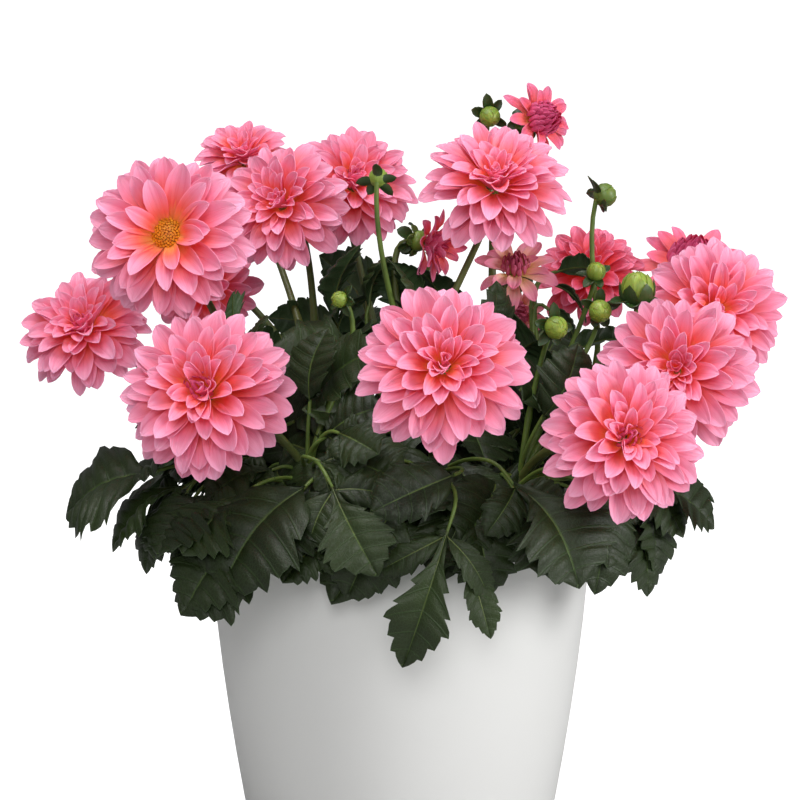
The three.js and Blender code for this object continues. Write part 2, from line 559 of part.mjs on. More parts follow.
// A leaf on its stem, as one thin closed sheet. Its upper face looks up and outwards from the plant. The
// blade is laid out flat, along and across its rib, then bowed along the rib and folded up to its margins.
function leafGeometry(leaf, start) {
  const base = point(leaf.base);
  const span = point(leaf.tip).sub(base);
  const length = span.length();
  const along = span.normalize();
  const outwards = new THREE.Vector3(base.x, base.y, 0).normalize();
  const normal = UP.clone().addScaledVector(outwards, LEAF_OPENING);
  normal.addScaledVector(along, -normal.dot(along)).normalize();
  const across = normal.clone().cross(along);
  const upper = [];
  const lower = [];
  const faces = [];

  const reach = start.distanceTo(base);
  const rise = start.clone().addScaledVector(UP, 0.3 * reach);
  const bend = base.clone().addScaledVector(along, -0.35 * reach);
  const stem = new THREE.CubicBezierCurve3(start, rise, bend, base);
  for (let i = 0; i <= LEAF_STEM_STEPS; i++) {
    const tangent = stem.getTangent(i / LEAF_STEM_STEPS);
    const side = across.clone().addScaledVector(tangent, -across.dot(tangent)).normalize();
    const up = tangent.clone().cross(side);
    for (const edge of [0.5, -0.5]) {
      const middle = stem.getPoint(i / LEAF_STEM_STEPS).addScaledVector(side, edge * LEAF_STEM_WIDTH);
      upper.push(middle.clone().addScaledVector(up, 0.5 * LEAF_STEM_DEPTH));
      lower.push(middle.addScaledVector(up, -0.5 * LEAF_STEM_DEPTH));
    }
    if (i > 0) faces.push([2 * i - 2, 2 * i - 1, 2 * i + 1], [2 * i - 2, 2 * i + 1, 2 * i]);
  }

  const addBladePoint = ([x, y]) => {
    const share = x / length;
    const fold = LEAF_FOLD * Math.abs(y) - (0.35 * y * y) / length;
    const bow = LEAF_ARCH * Math.sin(Math.PI * share) - LEAF_DROOP * share * share;
    const place = base.clone().addScaledVector(along, x).addScaledVector(across, y);
    upper.push(place.clone().addScaledVector(normal, fold + bow * length + 0.5 * LEAF_THICKNESS));
    lower.push(place.addScaledVector(normal, fold + bow * length - 0.5 * LEAF_THICKNESS));
    return { index: upper.length - 1, flat: new THREE.Vector2(x, y) };
  };
  const rib = [1, 0.65, 0.3].map((share) => addBladePoint([share * length, 0]));
  const corners = [0.5, -0.5].map((edge, k) => {
    const flat = new THREE.Vector2(0, edge * LEAF_STEM_WIDTH);
    return { index: 2 * LEAF_STEM_STEPS + k, flat };
  });
  faces.push([corners[0].index, corners[1].index, rib[2].index]);
  const half = halfOutline(length, leaf.width, leaf.side);
  [1, -1].forEach((side, k) => {
    const margin = half.map(([x, y]) => addBladePoint([x, side * y]));
    const loop = [corners[k], ...margin, ...rib];
    for (const face of THREE.ShapeUtils.triangulateShape(loop.map((corner) => corner.flat), [])) {
      const [a, b, c] = face.map((i) => loop[i]);
      const turnsLeft = b.flat.clone().sub(a.flat).cross(c.flat.clone().sub(a.flat)) > 0;
      faces.push(turnsLeft ? [a.index, b.index, c.index] : [b.index, a.index, c.index]);
    }
  });
  return sheetGeometry(upper, lower, faces);
}

// A closed sheet from its upper faces: the lower ones are split alike, and walls stand on the free edges.
function sheetGeometry(upper, lower, upperFaces) {
  const count = upper.length;
  const faces = [...upperFaces, ...upperFaces.map(([a, b, c]) => [b + count, a + count, c + count])];
  const edges = upperFaces.flatMap(([a, b, c]) => [[a, b], [b, c], [c, a]]);
  const known = new Set(edges.map(([a, b]) => a * count + b));
  for (const [a, b] of edges) {
    if (!known.has(b * count + a)) faces.push([a, a + count, b + count], [a, b + count, b]);
  }
  return facetedGeometry([...upper, ...lower], faces);
}

// One leafy stem: the stalk, the flower stems with their green cups, the buds and the leaves, all joined.
function leafyStem(name, stem) {
  const stalk = stalkCurve(stem, STALK_FOOT);
  const parts = [tubeSolid(stalk, STALK_RADIUS, STALK_SIDES, STALK_STEPS)];
  stem.heads.forEach((head, i) => {
    const bloom = BLOOMS[head];
    const depth = SEAT_GAP - undersideOf(bloom) + CALYX_DEPTH - 2;
    const way = flowerStemCurve(stalk.getPoint(0.97 - 0.09 * i), bloom, depth);
    parts.push(tubeSolid(way, FLOWER_STEM_RADIUS, THIN_SIDES, THIN_STEPS), calyxSolid(bloom));
  });
  stem.buds.forEach((name, i) => {
    const way = flowerStemCurve(stalk.getPoint(0.92 - 0.09 * i), BUDS[name], 0.6 * BUDS[name].radius);
    parts.push(tubeSolid(way, BUD_STEM_RADIUS, THIN_SIDES, THIN_STEPS), budSolid(BUDS[name]));
  });
  for (const leaf of stem.leaves) parts.push(toSolid(leafGeometry(leaf, stalk.getPoint(leaf.at))));
  return namedMesh(name, toGeometry(wasm.Manifold.union(parts)), COLOURS.foliage);
}

const plant = new THREE.Group();
for (const [name, stem] of Object.entries(STEMS)) plant.add(leafyStem(name, stem));
plant.add(floretDisc(), ...blooms());

const pottedDahlia = new THREE.Group();
pottedDahlia.add(pot(), soil(), plant);

export default pottedDahlia;
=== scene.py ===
# %% [markdown]
# # A potted dahlia
#
# This lesson dresses the plain solids of a potted dahlia as the real plant: layered double heads of thin
# cupped petals, dark toothed leaves with their veins, green buds, and a satin white pot. The packed
# solids come in first and stay where they are. Every finer piece is made round them, in metres, in the
# same frame.

# %% Load the fixed frame
import math
import random
from types import SimpleNamespace

import bmesh
import bpy
import numpy as np
from mathutils import Matrix, Vector


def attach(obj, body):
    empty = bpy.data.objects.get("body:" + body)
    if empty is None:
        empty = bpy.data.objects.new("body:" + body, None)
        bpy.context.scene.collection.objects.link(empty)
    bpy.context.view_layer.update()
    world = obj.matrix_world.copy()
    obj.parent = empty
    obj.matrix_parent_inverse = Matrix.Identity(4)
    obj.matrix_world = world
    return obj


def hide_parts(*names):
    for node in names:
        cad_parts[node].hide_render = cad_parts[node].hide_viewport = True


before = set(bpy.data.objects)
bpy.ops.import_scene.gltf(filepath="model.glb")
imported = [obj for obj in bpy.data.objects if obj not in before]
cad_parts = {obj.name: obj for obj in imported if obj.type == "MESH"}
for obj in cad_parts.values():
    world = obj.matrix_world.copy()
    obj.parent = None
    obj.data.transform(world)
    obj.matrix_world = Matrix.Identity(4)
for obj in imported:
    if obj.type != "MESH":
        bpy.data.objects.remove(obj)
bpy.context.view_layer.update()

# %% [markdown]
# ## The plan of the plant
#
# A gardener would note where each head stands, which way it faces and how far its petals reach. These
# tables say so in millimetres, and keep to the places of the solids. Two heads at the right reach a
# little further than theirs, as the picture shows. Each head also has its form, and the look of its
# heart: loose with coral petals, rolled with tight raspberry petals, or a disc of yellow florets. A bud
# has its middle, the way that its stem comes to it, and its radius. Some buds nod, and one has a stem
# that leaves its stalk sideways.

# %% Heads and buds
MM = 0.001

HEADS = {
    "bloom_front": ((27, -150, 346), (0.03, -0.95, 0.3), 58, "full", "loose"),
    "bloom_left_lower": ((-121, -120, 326), (-0.2, -0.93, 0.28), 58, "full", "rolled"),
    "bloom_right_lower": ((138, -145, 301), (0.25, -0.95, 0.18), 54, "full", "rolled"),
    "bloom_open_centre": ((-148, -60, 421), (-0.1, -0.93, 0.3), 57, "open", "disc"),
    "bloom_far_left": ((-206, -20, 353), (-0.22, -0.82, 0.53), 46, "small", "rolled"),
    "bloom_left_upper": ((-76, 5, 435), (-0.35, -0.9, 0.25), 46, "small", "loose"),
    "bloom_middle_upper": ((-33, 85, 441), (0.2, -0.84, 0.5), 47, "small", "rolled"),
    "bloom_top_left": ((-108, 125, 455), (-0.15, -0.65, 0.75), 38, "plain", "loose"),
    "bloom_left_inner": ((-131, 55, 376), (-0.3, -0.85, -0.2), 40, "plain", "loose"),
    "bloom_top_right": ((62, -20, 447), (0.08, -0.75, 0.65), 52, "full", "loose"),
    "bloom_right_middle": ((179, -75, 335), (-0.2, -0.95, 0.12), 54, "small", "loose"),
    "bloom_far_right": ((206, 0, 364), (0.25, -0.93, 0.15), 54, "small", "loose"),
    "bloom_right_inner": ((132, 95, 379), (-0.1, -0.8, 0.5), 40, "plain", "loose"),
    "bloom_back_low": ((22, 170, 323), (0.1, 0.9, 0.4), 44, "plain", "loose"),
    "bloom_back_right": ((170, 130, 290), (0.6, 0.75, 0.3), 42, "plain", "rolled"),
    "bloom_back_high": ((-39, 185, 426), (-0.1, 0.85, 0.5), 44, "plain", "loose"),
    "opening_bloom_right": ((201, 95, 378), (0.1, -0.5, 0.75), 44, "opening", "rolled"),
    "opening_bloom_top": ((89, 40, 490), (0.6, -0.7, 0.25), 29, "opening", "rolled"),
    "opening_bloom_side": ((15, 20, 411), (0.85, -0.45, -0.15), 31, "opening_side", "rolled"),
    "opening_bloom_star": ((77, 15, 389), (0, -0.62, 0.75), 31, "star", "rolled"),
    "opening_bloom_low": ((84, 66, 357), (-0.5, -0.8, 0.1), 22, "opening", "rolled"),
}

BUDS = {
    "bud_top": ((60, 30, 494), (0, -0.2, 1), 6.5),
    "bud_middle": ((-14, -40, 458), (0, -0.2, 1), 6),
    "bud_right_high": ((136, 10, 443), (0, -0.1, 1), 7.5),
    "bud_left_low": ((-39, -60, 381), (-0.3, -0.3, 0.9), 5),
    "bud_right_low": ((100, -80, 365), (0.1, -0.4, 0.9), 7),
    "bud_right_small": ((130, -48, 372), (-0.2, -0.5, 0.8), 7),
    "bud_right_large": ((154, -48, 386), (0, -0.2, 1), 10.5),
    "bud_right_inner": ((130, 0, 393), (0.1, -0.5, 0.8), 6),
}

# Some buds have turned on their stems: the way that these face is their own.
BUD_NODS = {
    "bud_top": (0.1, -0.9, -0.3),
    "bud_middle": (0.2, 0.85, 0.4),
    "bud_right_high": (0.75, 0.25, 0.35),
    "bud_left_low": (-0.7, -0.6, 0.1),
    "bud_right_low": (0.3, -0.85, -0.1),
    "bud_right_small": (0.1, -0.85, -0.25),
}
BUD_LEANS = {"bud_right_high": (1, 0, 0.45)}  # the way its stem leaves the stalk
print(len(HEADS), "heads and", len(BUDS), "buds,", len(BUD_NODS), "of them nodding")

# %% [markdown]
# Ten leafy stems carry them. Each stalk has a foot in the potting mix and a fork, and it lists its heads,
# its buds and its leaves. A leaf has the share of the stalk's way where it leaves it, the two ends of its
# end leaflet, that leaflet's width, and the length of its side leaflets as a share of its own, or 0 for a
# simple leaf.

# %% Leafy stems
STEMS = {
    "stem_front": ((8, -58), (20, -78, 272), ["bloom_front"], [], [
        (0.6, (33, -150, 256), (1, -170, 163), 38, 0.5),
        (0.8, (34, -132, 278), (-16, -160, 264), 38, 0),
        (0.7, (66, -122, 278), (114, -166, 217), 70, 0.42),
        (0.5, (-2, -126, 258), (-34, -152, 206), 50, 0),
        (0.5, (44, -148, 222), (58, -166, 182), 20, 0),
    ]),
    "stem_front_left": ((-38, -48), (-60, -70, 270), ["bloom_left_lower"], ["bud_left_low"], [
        (0.75, (-46, -128, 276), (-14, -164, 222), 46, 0.56),
        (0.5, (-60, -116, 268), (-118, -154, 214), 70, 0),
        (0.35, (-94, -112, 219), (-140, -138, 195), 58, 0),
        (0.95, (-52, -84, 292), (-14, -104, 320), 42, 0.4),
        (1, (-58, -72, 316), (-53, -66, 364), 38, 0),
    ]),
    "stem_left": ((-68, -8), (-92, -22, 285), ["bloom_open_centre", "bloom_far_left"], [], [
        (0.6, (-163, -56, 267), (-224, -46, 246), 80, 0),
        (0.5, (-134, -66, 262), (-172, -84, 212), 50, 0.4),
        (0.95, (-92, -20, 340), (-114, -40, 382), 44, 0.45),
        (0.8, (-106, -30, 296), (-172, -52, 304), 56, 0),
    ]),
    "stem_left_back": ((-48, 38), (-54, 38, 305),
                       ["bloom_left_upper", "bloom_left_inner", "bloom_top_left"], [], [
        (0.95, (-43, 20, 345), (-34, 8, 412), 50, 0.45),
        (0.85, (-70, 14, 308), (-122, -4, 346), 56, 0),
        (0.6, (-100, 70, 268), (-174, 110, 250), 58, 0.5),
        (0.5, (-128, 22, 256), (-200, 32, 218), 60, 0),
    ]),
    "stem_back": ((-8, 62), (-12, 72, 310), ["bloom_middle_upper", "bloom_back_high"], ["bud_top"], [
        (0.5, (-25, 128, 256), (-42, 202, 220), 58, 0.5),
        (0.95, (-22, 92, 350), (-48, 130, 392), 50, 0),
        (0.75, (-50, 120, 300), (-92, 180, 308), 54, 0.5),
        (0.45, (-76, 112, 256), (-126, 164, 208), 60, 0),
    ]),
    "stem_centre": ((8, -2), (8, -6, 300), ["bloom_top_right", "opening_bloom_side"], ["bud_middle"], [
        (0.95, (10, 0, 345), (2, -8, 404), 48, 0.5),
        (0.9, (40, -22, 338), (70, -38, 384), 46, 0.45),
        (0.8, (-20, -24, 318), (-80, -48, 350), 56, 0),
        (0.7, (-14, -34, 288), (-46, -84, 270), 54, 0),
        (0.7, (32, -28, 296), (60, -84, 288), 54, 0),
    ]),
    "stem_right_back": ((42, 45), (62, 52, 305),
                        ["opening_bloom_top", "bloom_right_inner", "opening_bloom_low",
                         "opening_bloom_star"], [], [
        (0.95, (34, 40, 345), (18, 38, 394), 44, 0),
        (0.7, (86, 90, 304), (122, 142, 346), 50, 0.4),
        (0.85, (66, 24, 330), (96, -14, 356), 50, 0),
    ]),
    "stem_right": ((68, 8), (98, 14, 290), ["bloom_far_right", "opening_bloom_right"],
                   ["bud_right_high", "bud_right_inner"], [
        (0.95, (112, -8, 338), (162, -20, 354), 40, 0),
        (0.8, (112, -10, 300), (154, -38, 302), 52, 0),
        (0.55, (138, 18, 262), (216, 34, 238), 58, 0.5),
    ]),
    "stem_front_right": ((48, -45), (78, -62, 265), ["bloom_right_lower", "bloom_right_middle"],
                         ["bud_right_low", "bud_right_small", "bud_right_large"], [
        (0.6, (124, -104, 266), (128, -140, 206), 46, 0),
        (0.8, (152, -66, 266), (208, -66, 238), 54, 0.5),
        (0.5, (140, -84, 254), (166, -102, 198), 46, 0.45),
        (0.95, (92, -72, 306), (118, -78, 352), 46, 0),
    ]),
    "stem_back_right": ((28, 92), (62, 112, 268), ["bloom_back_low", "bloom_back_right"], [], [
        (0.6, (44, 142, 254), (54, 212, 216), 56, 0.5),
        (0.7, (112, 112, 258), (176, 144, 222), 58, 0.5),
        (0.9, (62, 128, 305), (74, 172, 332), 50, 0),
    ]),
}
print(sum(len(stem[4]) for stem in STEMS.values()), "large leaves on", len(STEMS), "stems")

# %% [markdown]
# In the picture leaves hide nearly all of the rim. These further leaves lie over it, or fill the shade
# behind the large ones.

# %% Leaves over the rim
RIM_LEAVES = {
    "stem_front": [
        (0.45, (2, -96, 262), (-44, -148, 206), 56, 0),
        (0.6, (38, -118, 262), (58, -148, 206), 46, 0.5),
        (0.7, (14, -96, 276), (0, -128, 232), 52, 0.45),
        (0.5, (28, -112, 258), (28, -140, 214), 44, 0),
    ],
    "stem_front_left": [
        (0.4, (-90, -110, 240), (-139, -138, 198), 64, 0.45),
        (0.6, (-60, -104, 266), (-92, -140, 226), 58, 0.4),
        (0.55, (-42, -122, 238), (-74, -150, 216), 34, 0.5),
        (0.85, (-56, -104, 284), (-8, -122, 268), 44, 0.45),
        (0.7, (-96, -108, 264), (-140, -130, 232), 62, 0.4),
        (0.6, (-125, -88, 257), (-158, -112, 228), 66, 0),
        (0.45, (-114, -96, 243), (-142, -122, 212), 52, 0),
    ],
    "stem_left": [
        (0.7, (-134, -56, 262), (-192, -70, 226), 60, 0.5),
        (0.6, (-130, -78, 258), (-160, -104, 222), 58, 0.5),
        (0.8, (-128, -40, 276), (-182, -62, 262), 56, 0.45),
    ],
    "stem_left_back": [(0.6, (-120, 10, 262), (-178, 6, 232), 58, 0.45)],
    "stem_centre": [
        (0.98, (-21, 8, 369), (-9, 14, 403), 46, 0),
        (0.96, (5, 12, 367), (-3, 20, 397), 40, 0),
        (0.75, (28, -70, 284), (60, -118, 250), 54, 0.45),
        (0.75, (-24, -60, 288), (-52, -112, 256), 54, 0.45),
    ],
    "stem_right": [
        (0.6, (138, -10, 264), (194, -6, 228), 56, 0.45),
        (0.98, (106, 48, 388), (139, 34, 393), 24, 0),
        (0.98, (104, 44, 380), (130, 30, 360), 24, 0),
        (0.9, (100, 36, 364), (122, 26, 344), 26, 0),
    ],
    "stem_front_right": [
        (0.6, (70, -104, 268), (104, -146, 216), 66, 0.4),
        (0.7, (118, -98, 262), (134, -136, 222), 44, 0.4),
        (0.8, (152, -72, 262), (170, -100, 214), 50, 0.5),
        (0.75, (140, -70, 268), (186, -84, 234), 54, 0.5),
        (0.6, (96, -96, 270), (80, -132, 224), 50, 0),
    ],
}
print(sum(len(rows) for rows in RIM_LEAVES.values()), "leaves over the rim")

# %% [markdown]
# ## Working by hand, in code
#
# Every step in edit mode acts on what is selected, so a small helper selects exactly the vertices that a
# test names. A blank is a small flat piece, made once. When it is finished, its points, its faces and its
# flat layout are read, because the copies are bent from them, and the blank itself isn't needed any more.

# %% Helpers for edit mode
def deselect_all():
    if bpy.context.mode != "OBJECT":
        bpy.ops.object.mode_set(mode="OBJECT")
    bpy.ops.object.select_all(action="DESELECT")


def edit(piece):
    deselect_all()
    piece.select_set(True)
    bpy.context.view_layer.objects.active = piece
    bpy.ops.object.mode_set(mode="EDIT")
    bpy.ops.mesh.select_all(action="DESELECT")


def pick(piece, test):
    """Selects the vertices for which test(vertex) is true, and nothing else."""
    shape = bmesh.from_edit_mesh(piece.data)
    shape.select_mode = {"VERT"}
    for vertex in shape.verts:
        vertex.select = bool(test(vertex))
    shape.select_flush_mode()
    bmesh.update_edit_mesh(piece.data)


def solidify(piece, thickness):
    bpy.ops.object.mode_set(mode="OBJECT")
    wall = piece.modifiers.new("wall", "SOLIDIFY")
    wall.thickness = thickness
    wall.offset = 0
    bpy.ops.object.modifier_apply(modifier=wall.name)


def read_blank(piece):
    """The points, faces and flat layout of a finished blank. The blank itself is then removed."""
    mesh = piece.data
    points = np.array([vertex.co for vertex in mesh.vertices])
    layout = np.zeros((len(points), 2))
    flat = mesh.uv_layers.active.data if mesh.uv_layers else []
    for loop, place in zip(mesh.loops, flat):
        layout[loop.vertex_index] = place.uv
    faces = [tuple(face.vertices) for face in mesh.polygons]
    blank = SimpleNamespace(points=points, layout=layout, faces=faces)
    bpy.data.objects.remove(piece)
    return blank


deselect_all()

# %% [markdown]
# A plant grows the same petal hundreds of times. Each could be an object of its own, but one mesh for a
# head is lighter and moves as one. So a collector gathers the bent copies into one mesh. Each copy brings
# numbers of its own, such as its age, and the materials read them from the mesh. A piece then settles on
# the pot's body.

# %% The collector of copies
class Bunch:
    """Gathers bent copies of blanks, and makes them one smooth mesh with numbers for each point."""

    def __init__(self, *marks):
        self.points = []
        self.layout = []
        self.faces = []
        self.count = 0
        self.marks = {mark: [] for mark in marks}

    def add(self, blank, points, **marks):
        self.points.append(points)
        self.layout.append(blank.layout)
        self.faces += [tuple(i + self.count for i in face) for face in blank.faces]
        self.count += len(points)
        for mark, values in self.marks.items():
            values.append(np.broadcast_to(marks.get(mark, 0.0), len(points)))

    def finish(self, name, material, sharp=60):
        mesh = bpy.data.meshes.new(name)
        mesh.from_pydata(np.concatenate(self.points), [], self.faces)
        corners = np.empty(len(mesh.loops), int)
        mesh.loops.foreach_get("vertex_index", corners)
        flat = mesh.uv_layers.new(name="UVMap")
        flat.data.foreach_set("uv", np.concatenate(self.layout)[corners].astype(np.float32).ravel())
        for mark, values in self.marks.items():
            attribute = mesh.attributes.new(mark, "FLOAT", "POINT")
            attribute.data.foreach_set("value", np.concatenate(values).astype(np.float32))
        mesh.shade_smooth()
        mesh.set_sharp_from_angle(angle=math.radians(sharp))
        piece = bpy.data.objects.new(name, mesh)
        bpy.context.scene.collection.objects.link(piece)
        piece.data.materials.append(material)
        return piece


def settle(piece, slot, *nodes):
    """The piece rides on the pot's body and stands for its solids, which are hidden. The slot is not used."""
    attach(piece, "root")
    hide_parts(*nodes)
    return piece


print("a bunch of petals has these marks:", list(Bunch("age", "back", "tint", "young").marks))

# %% [markdown]
# ## Nodes for colour
#
# A colour on a living thing is never one flat tone. Nodes could be set by hand in the editor, but a few
# helpers make the wiring short: one adds a node with its inputs, and the others do sums, blend two
# colours, spread a value over a range, or read a number that a copy brought with it.

# %% Helpers for wiring
def tone(code):
    """A hex colour in linear light, as the shader takes it."""
    parts = [int(code[i:i + 2], 16) / 255 for i in (1, 3, 5)]
    return (*[part / 12.92 if part < 0.04045 else ((part + 0.055) / 1.055) ** 2.4 for part in parts], 1)


def wire(tree, kind, inputs=None, **settings):
    """A new node with its settings. Each input takes a value, or a link from another node's socket."""
    node = tree.nodes.new(kind)
    for name, value in settings.items():
        setattr(node, name, value)
    for name, value in (inputs or {}).items():
        if isinstance(value, bpy.types.NodeSocket):
            tree.links.new(value, node.inputs[name])
        else:
            node.inputs[name].default_value = value
    return node


def maths(tree, operation, *values):
    return wire(tree, "ShaderNodeMath", dict(enumerate(values)), operation=operation).outputs[0]


def blend(tree, factor, first, second, mode="MIX"):
    """Two colours mixed. The mix node has its colours in sockets 6 and 7, and puts them out in socket 2."""
    inputs = {0: factor, 6: first, 7: second}
    node = wire(tree, "ShaderNodeMix", inputs, data_type="RGBA", blend_type=mode, clamp_factor=True)
    return node.outputs[2]


def spread(tree, value, low, high, to_low=0.0, to_high=1.0):
    """Maps low..high to to_low..to_high with soft ends."""
    inputs = {0: value, 1: low, 2: high, 3: to_low, 4: to_high}
    return wire(tree, "ShaderNodeMapRange", inputs, interpolation_type="SMOOTHSTEP").outputs[0]


def mark_of(tree, name):
    return wire(tree, "ShaderNodeAttribute", attribute_name=name).outputs["Fac"]


def ramp(tree, value, *stops):
    node = wire(tree, "ShaderNodeValToRGB", {0: value})
    band = node.color_ramp
    for i, (place, colour) in enumerate(stops):
        stop = band.elements[i] if i < 2 else band.elements.new(place)
        stop.position = place
        stop.color = tone(colour)
    return node.outputs[0]


def new_material(name, roughness, **constants):
    """A material with one shader whose constants sit on its own sockets."""
    material = bpy.data.materials.new(name)
    material.use_nodes = True
    tree = material.node_tree
    shader = tree.nodes["Principled BSDF"]
    shader.inputs["Roughness"].default_value = roughness
    for socket, value in constants.items():
        shader.inputs[socket.replace("_", " ")].default_value = value
    return material, tree, shader


print("a petal's pink in linear light:", [round(part, 3) for part in tone("#FA90AE")])

# %% [markdown]
# Two effects are used by several materials, so each is a group, built once. Mottle gives cloudy patches,
# as on leaves, stalks, peat and the pot. Fibres gives fine lines that run along a petal or a scale, and
# its Offset sets them apart from the next one's.

# %% Shared groups
FIBRE_SHIFT = 37.0  # how far apart in the noise two copies lie whose offsets differ by 1


def new_group(name, inputs, outputs):
    tree = bpy.data.node_groups.new(name, "ShaderNodeTree")
    for label, value in inputs.items():
        socket = tree.interface.new_socket(label, in_out="INPUT", socket_type="NodeSocketFloat")
        socket.default_value = value
    for label in outputs:
        tree.interface.new_socket(label, in_out="OUTPUT", socket_type="NodeSocketFloat")
    return tree, tree.nodes.new("NodeGroupInput"), tree.nodes.new("NodeGroupOutput")


def make_mottle():
    """Cloudy patches over the object: 0.5 is the middle, and Contrast widens the swing."""
    tree, given, result = new_group("Mottle", {"Scale": 40.0, "Contrast": 1.0}, ["Patches"])
    place = tree.nodes.new("ShaderNodeTexCoord").outputs["Object"]
    inputs = {"Vector": place, "Scale": given.outputs["Scale"], "Detail": 3.0}
    noise = wire(tree, "ShaderNodeTexNoise", inputs).outputs["Fac"]
    swing = maths(tree, "MULTIPLY", maths(tree, "SUBTRACT", noise, 0.5), given.outputs["Contrast"])
    tree.links.new(maths(tree, "ADD", swing, 0.5), result.inputs["Patches"])
    return tree


def make_fibres():
    """Fine lines along the flat layout's second direction: 1 on a line, 0 between lines."""
    tree, given, result = new_group("Fibres", {"Lines": 30.0, "Stretch": 1.5, "Offset": 0.0}, ["Lines"])
    flat = wire(tree, "ShaderNodeSeparateXYZ", {0: tree.nodes.new("ShaderNodeTexCoord").outputs["UV"]})
    across = maths(tree, "MULTIPLY", flat.outputs["X"], given.outputs["Lines"])
    along = maths(tree, "MULTIPLY", flat.outputs["Y"], given.outputs["Stretch"])
    shift = maths(tree, "MULTIPLY", given.outputs["Offset"], FIBRE_SHIFT)
    place = wire(tree, "ShaderNodeCombineXYZ", {0: across, 1: along, 2: shift}).outputs[0]
    noise = wire(tree, "ShaderNodeTexNoise", {"Vector": place, "Scale": 1.0, "Detail": 2.0})
    tree.links.new(spread(tree, noise.outputs["Fac"], 0.46, 0.66), result.inputs["Lines"])
    return tree


MOTTLE = make_mottle()
FIBRES = make_fibres()


def use_group(tree, group, **inputs):
    node = wire(tree, "ShaderNodeGroup", node_tree=group)
    for label, value in inputs.items():
        if isinstance(value, bpy.types.NodeSocket):
            tree.links.new(value, node.inputs[label])
        else:
            node.inputs[label].default_value = value
    return node.outputs[0]


print("groups:", [group.name for group in bpy.data.node_groups])

# %% [markdown]
# ## Petals
#
# A dahlia's petal is a thin spoon: a narrow claw at its root, broad at two thirds of its length, and a
# small point. It could be sculpted one by one, but a head has some ninety of them that differ only in
# size and bend. So one flat blank is cut from a grid, row by row, and given its thickness.

# %% The petal blank
PETAL_LENGTH = 46 * MM
PETAL_WIDTH = 17 * MM
PETAL_THICKNESS = 0.32 * MM
PETAL_COLUMNS = 4
PETAL_ROWS = (
    (0.0, 0.24), (0.13, 0.42), (0.28, 0.67), (0.43, 0.88), (0.56, 1.0),
    (0.68, 1.0), (0.79, 0.91), (0.885, 0.69), (0.955, 0.38), (1.0, 0.0))


def flat_blank(length, width, thickness, columns, rows):
    """A flat sheet cut to an outline. A row has its place along the sheet and its share of the width."""
    bpy.ops.mesh.primitive_grid_add(x_subdivisions=columns, y_subdivisions=len(rows) - 1, size=2)
    sheet = bpy.context.object
    edit(sheet)
    for row, (place, share) in enumerate(rows):
        pick(sheet, lambda vertex: vertex.index // (columns + 1) == row)
        height = -1 + 2 * row / (len(rows) - 1)
        bpy.ops.transform.resize(value=(share * width / 2, 1, 1), center_override=(0, height, 0))
        bpy.ops.transform.translate(value=(0, place * length - height, 0))
    pick(sheet, lambda vertex: vertex.index // (columns + 1) == len(rows) - 1)
    bpy.ops.mesh.merge(type="CENTER")
    solidify(sheet, thickness)
    return read_blank(sheet)


deselect_all()
petal = flat_blank(PETAL_LENGTH, PETAL_WIDTH, PETAL_THICKNESS, PETAL_COLUMNS, PETAL_ROWS)
PETAL_BACK = petal.points[:, 2] < 0
print("petal blank:", len(petal.faces), "faces")

# %% [markdown]
# A petal is bent twice. Across, it is a channel that opens towards its tip. Along, it leaves the heart
# close to the way the head faces and leans out as it grows, and the outer ones curl right back. Both
# bends follow arcs, so the petal keeps its own length and width.

# %% Bending a petal
BEND_STEPS = 30  # how many short arcs a petal's bend is added up from
CURL_START = 0.6  # the share of its length where a petal's curl begins
CUP_PLACES = (0, 0.3, 0.7, 0.9, 1)
CUP_WIDTHS = (0.34, 0.72, 1, 0.7, 0.35)  # how open the channel is at those places


def arc_of(lean):
    """The way out and up of a strip of length 1 that leans as given at each step."""
    middle = (lean[1:] + lean[:-1]) / 2
    out = np.concatenate([[0], np.cumsum(np.sin(middle))]) / BEND_STEPS
    up = np.concatenate([[0], np.cumsum(np.cos(middle))]) / BEND_STEPS
    return out, up


def bend_petal(blank, width, root, reach, lean_start, lean_end, curl, cup, twist=0.0, ruffle=0.0, phase=0.0):
    """A copy of the blank, bent in the plane of the head's axis: X is away from the axis and Z along it."""
    along = np.clip(blank.points[:, 1] / PETAL_LENGTH, 0, 1)
    across = blank.points[:, 0] * width / PETAL_WIDTH
    steps = np.linspace(0, 1, BEND_STEPS + 1)
    curled = (np.clip(steps - CURL_START, 0, 1) / (1 - CURL_START)) ** 2
    lean = lean_start + (lean_end - lean_start) * steps + curl * curled
    out, up = arc_of(lean)
    near = np.hypot(*root)
    length = reach - near
    for _ in range(2):  # twice is enough for the tip to lie at the reach
        tip = np.hypot(root[0] + length * out[-1], root[1] + length * up[-1])
        length *= (reach - near) / (tip - near)
    lean_here = np.interp(along, steps, lean)
    radius = (width / 2) * np.interp(along, CUP_PLACES, CUP_WIDTHS) / cup
    angle = across / radius
    sideways = radius * np.sin(angle) - blank.points[:, 2] * np.sin(angle)
    lift = radius * (1 - np.cos(angle)) + blank.points[:, 2] * np.cos(angle)
    lift = lift + ruffle * np.sin(9 * along + phase) * (across / width) ** 2 * 4
    turn = twist * along
    twisted = sideways * np.cos(turn) - lift * np.sin(turn)
    raise_by = sideways * np.sin(turn) + lift * np.cos(turn)
    return np.stack([
        root[0] + length * np.interp(along, steps, out) - raise_by * np.cos(lean_here),
        twisted,
        root[1] + length * np.interp(along, steps, up) + raise_by * np.sin(lean_here),
    ], axis=1)


def turned(points, turn):
    """Points turned round the head's axis."""
    cos, sin = math.cos(turn), math.sin(turn)
    return points @ np.array([[cos, sin, 0], [-sin, cos, 0], [0, 0, 1]])


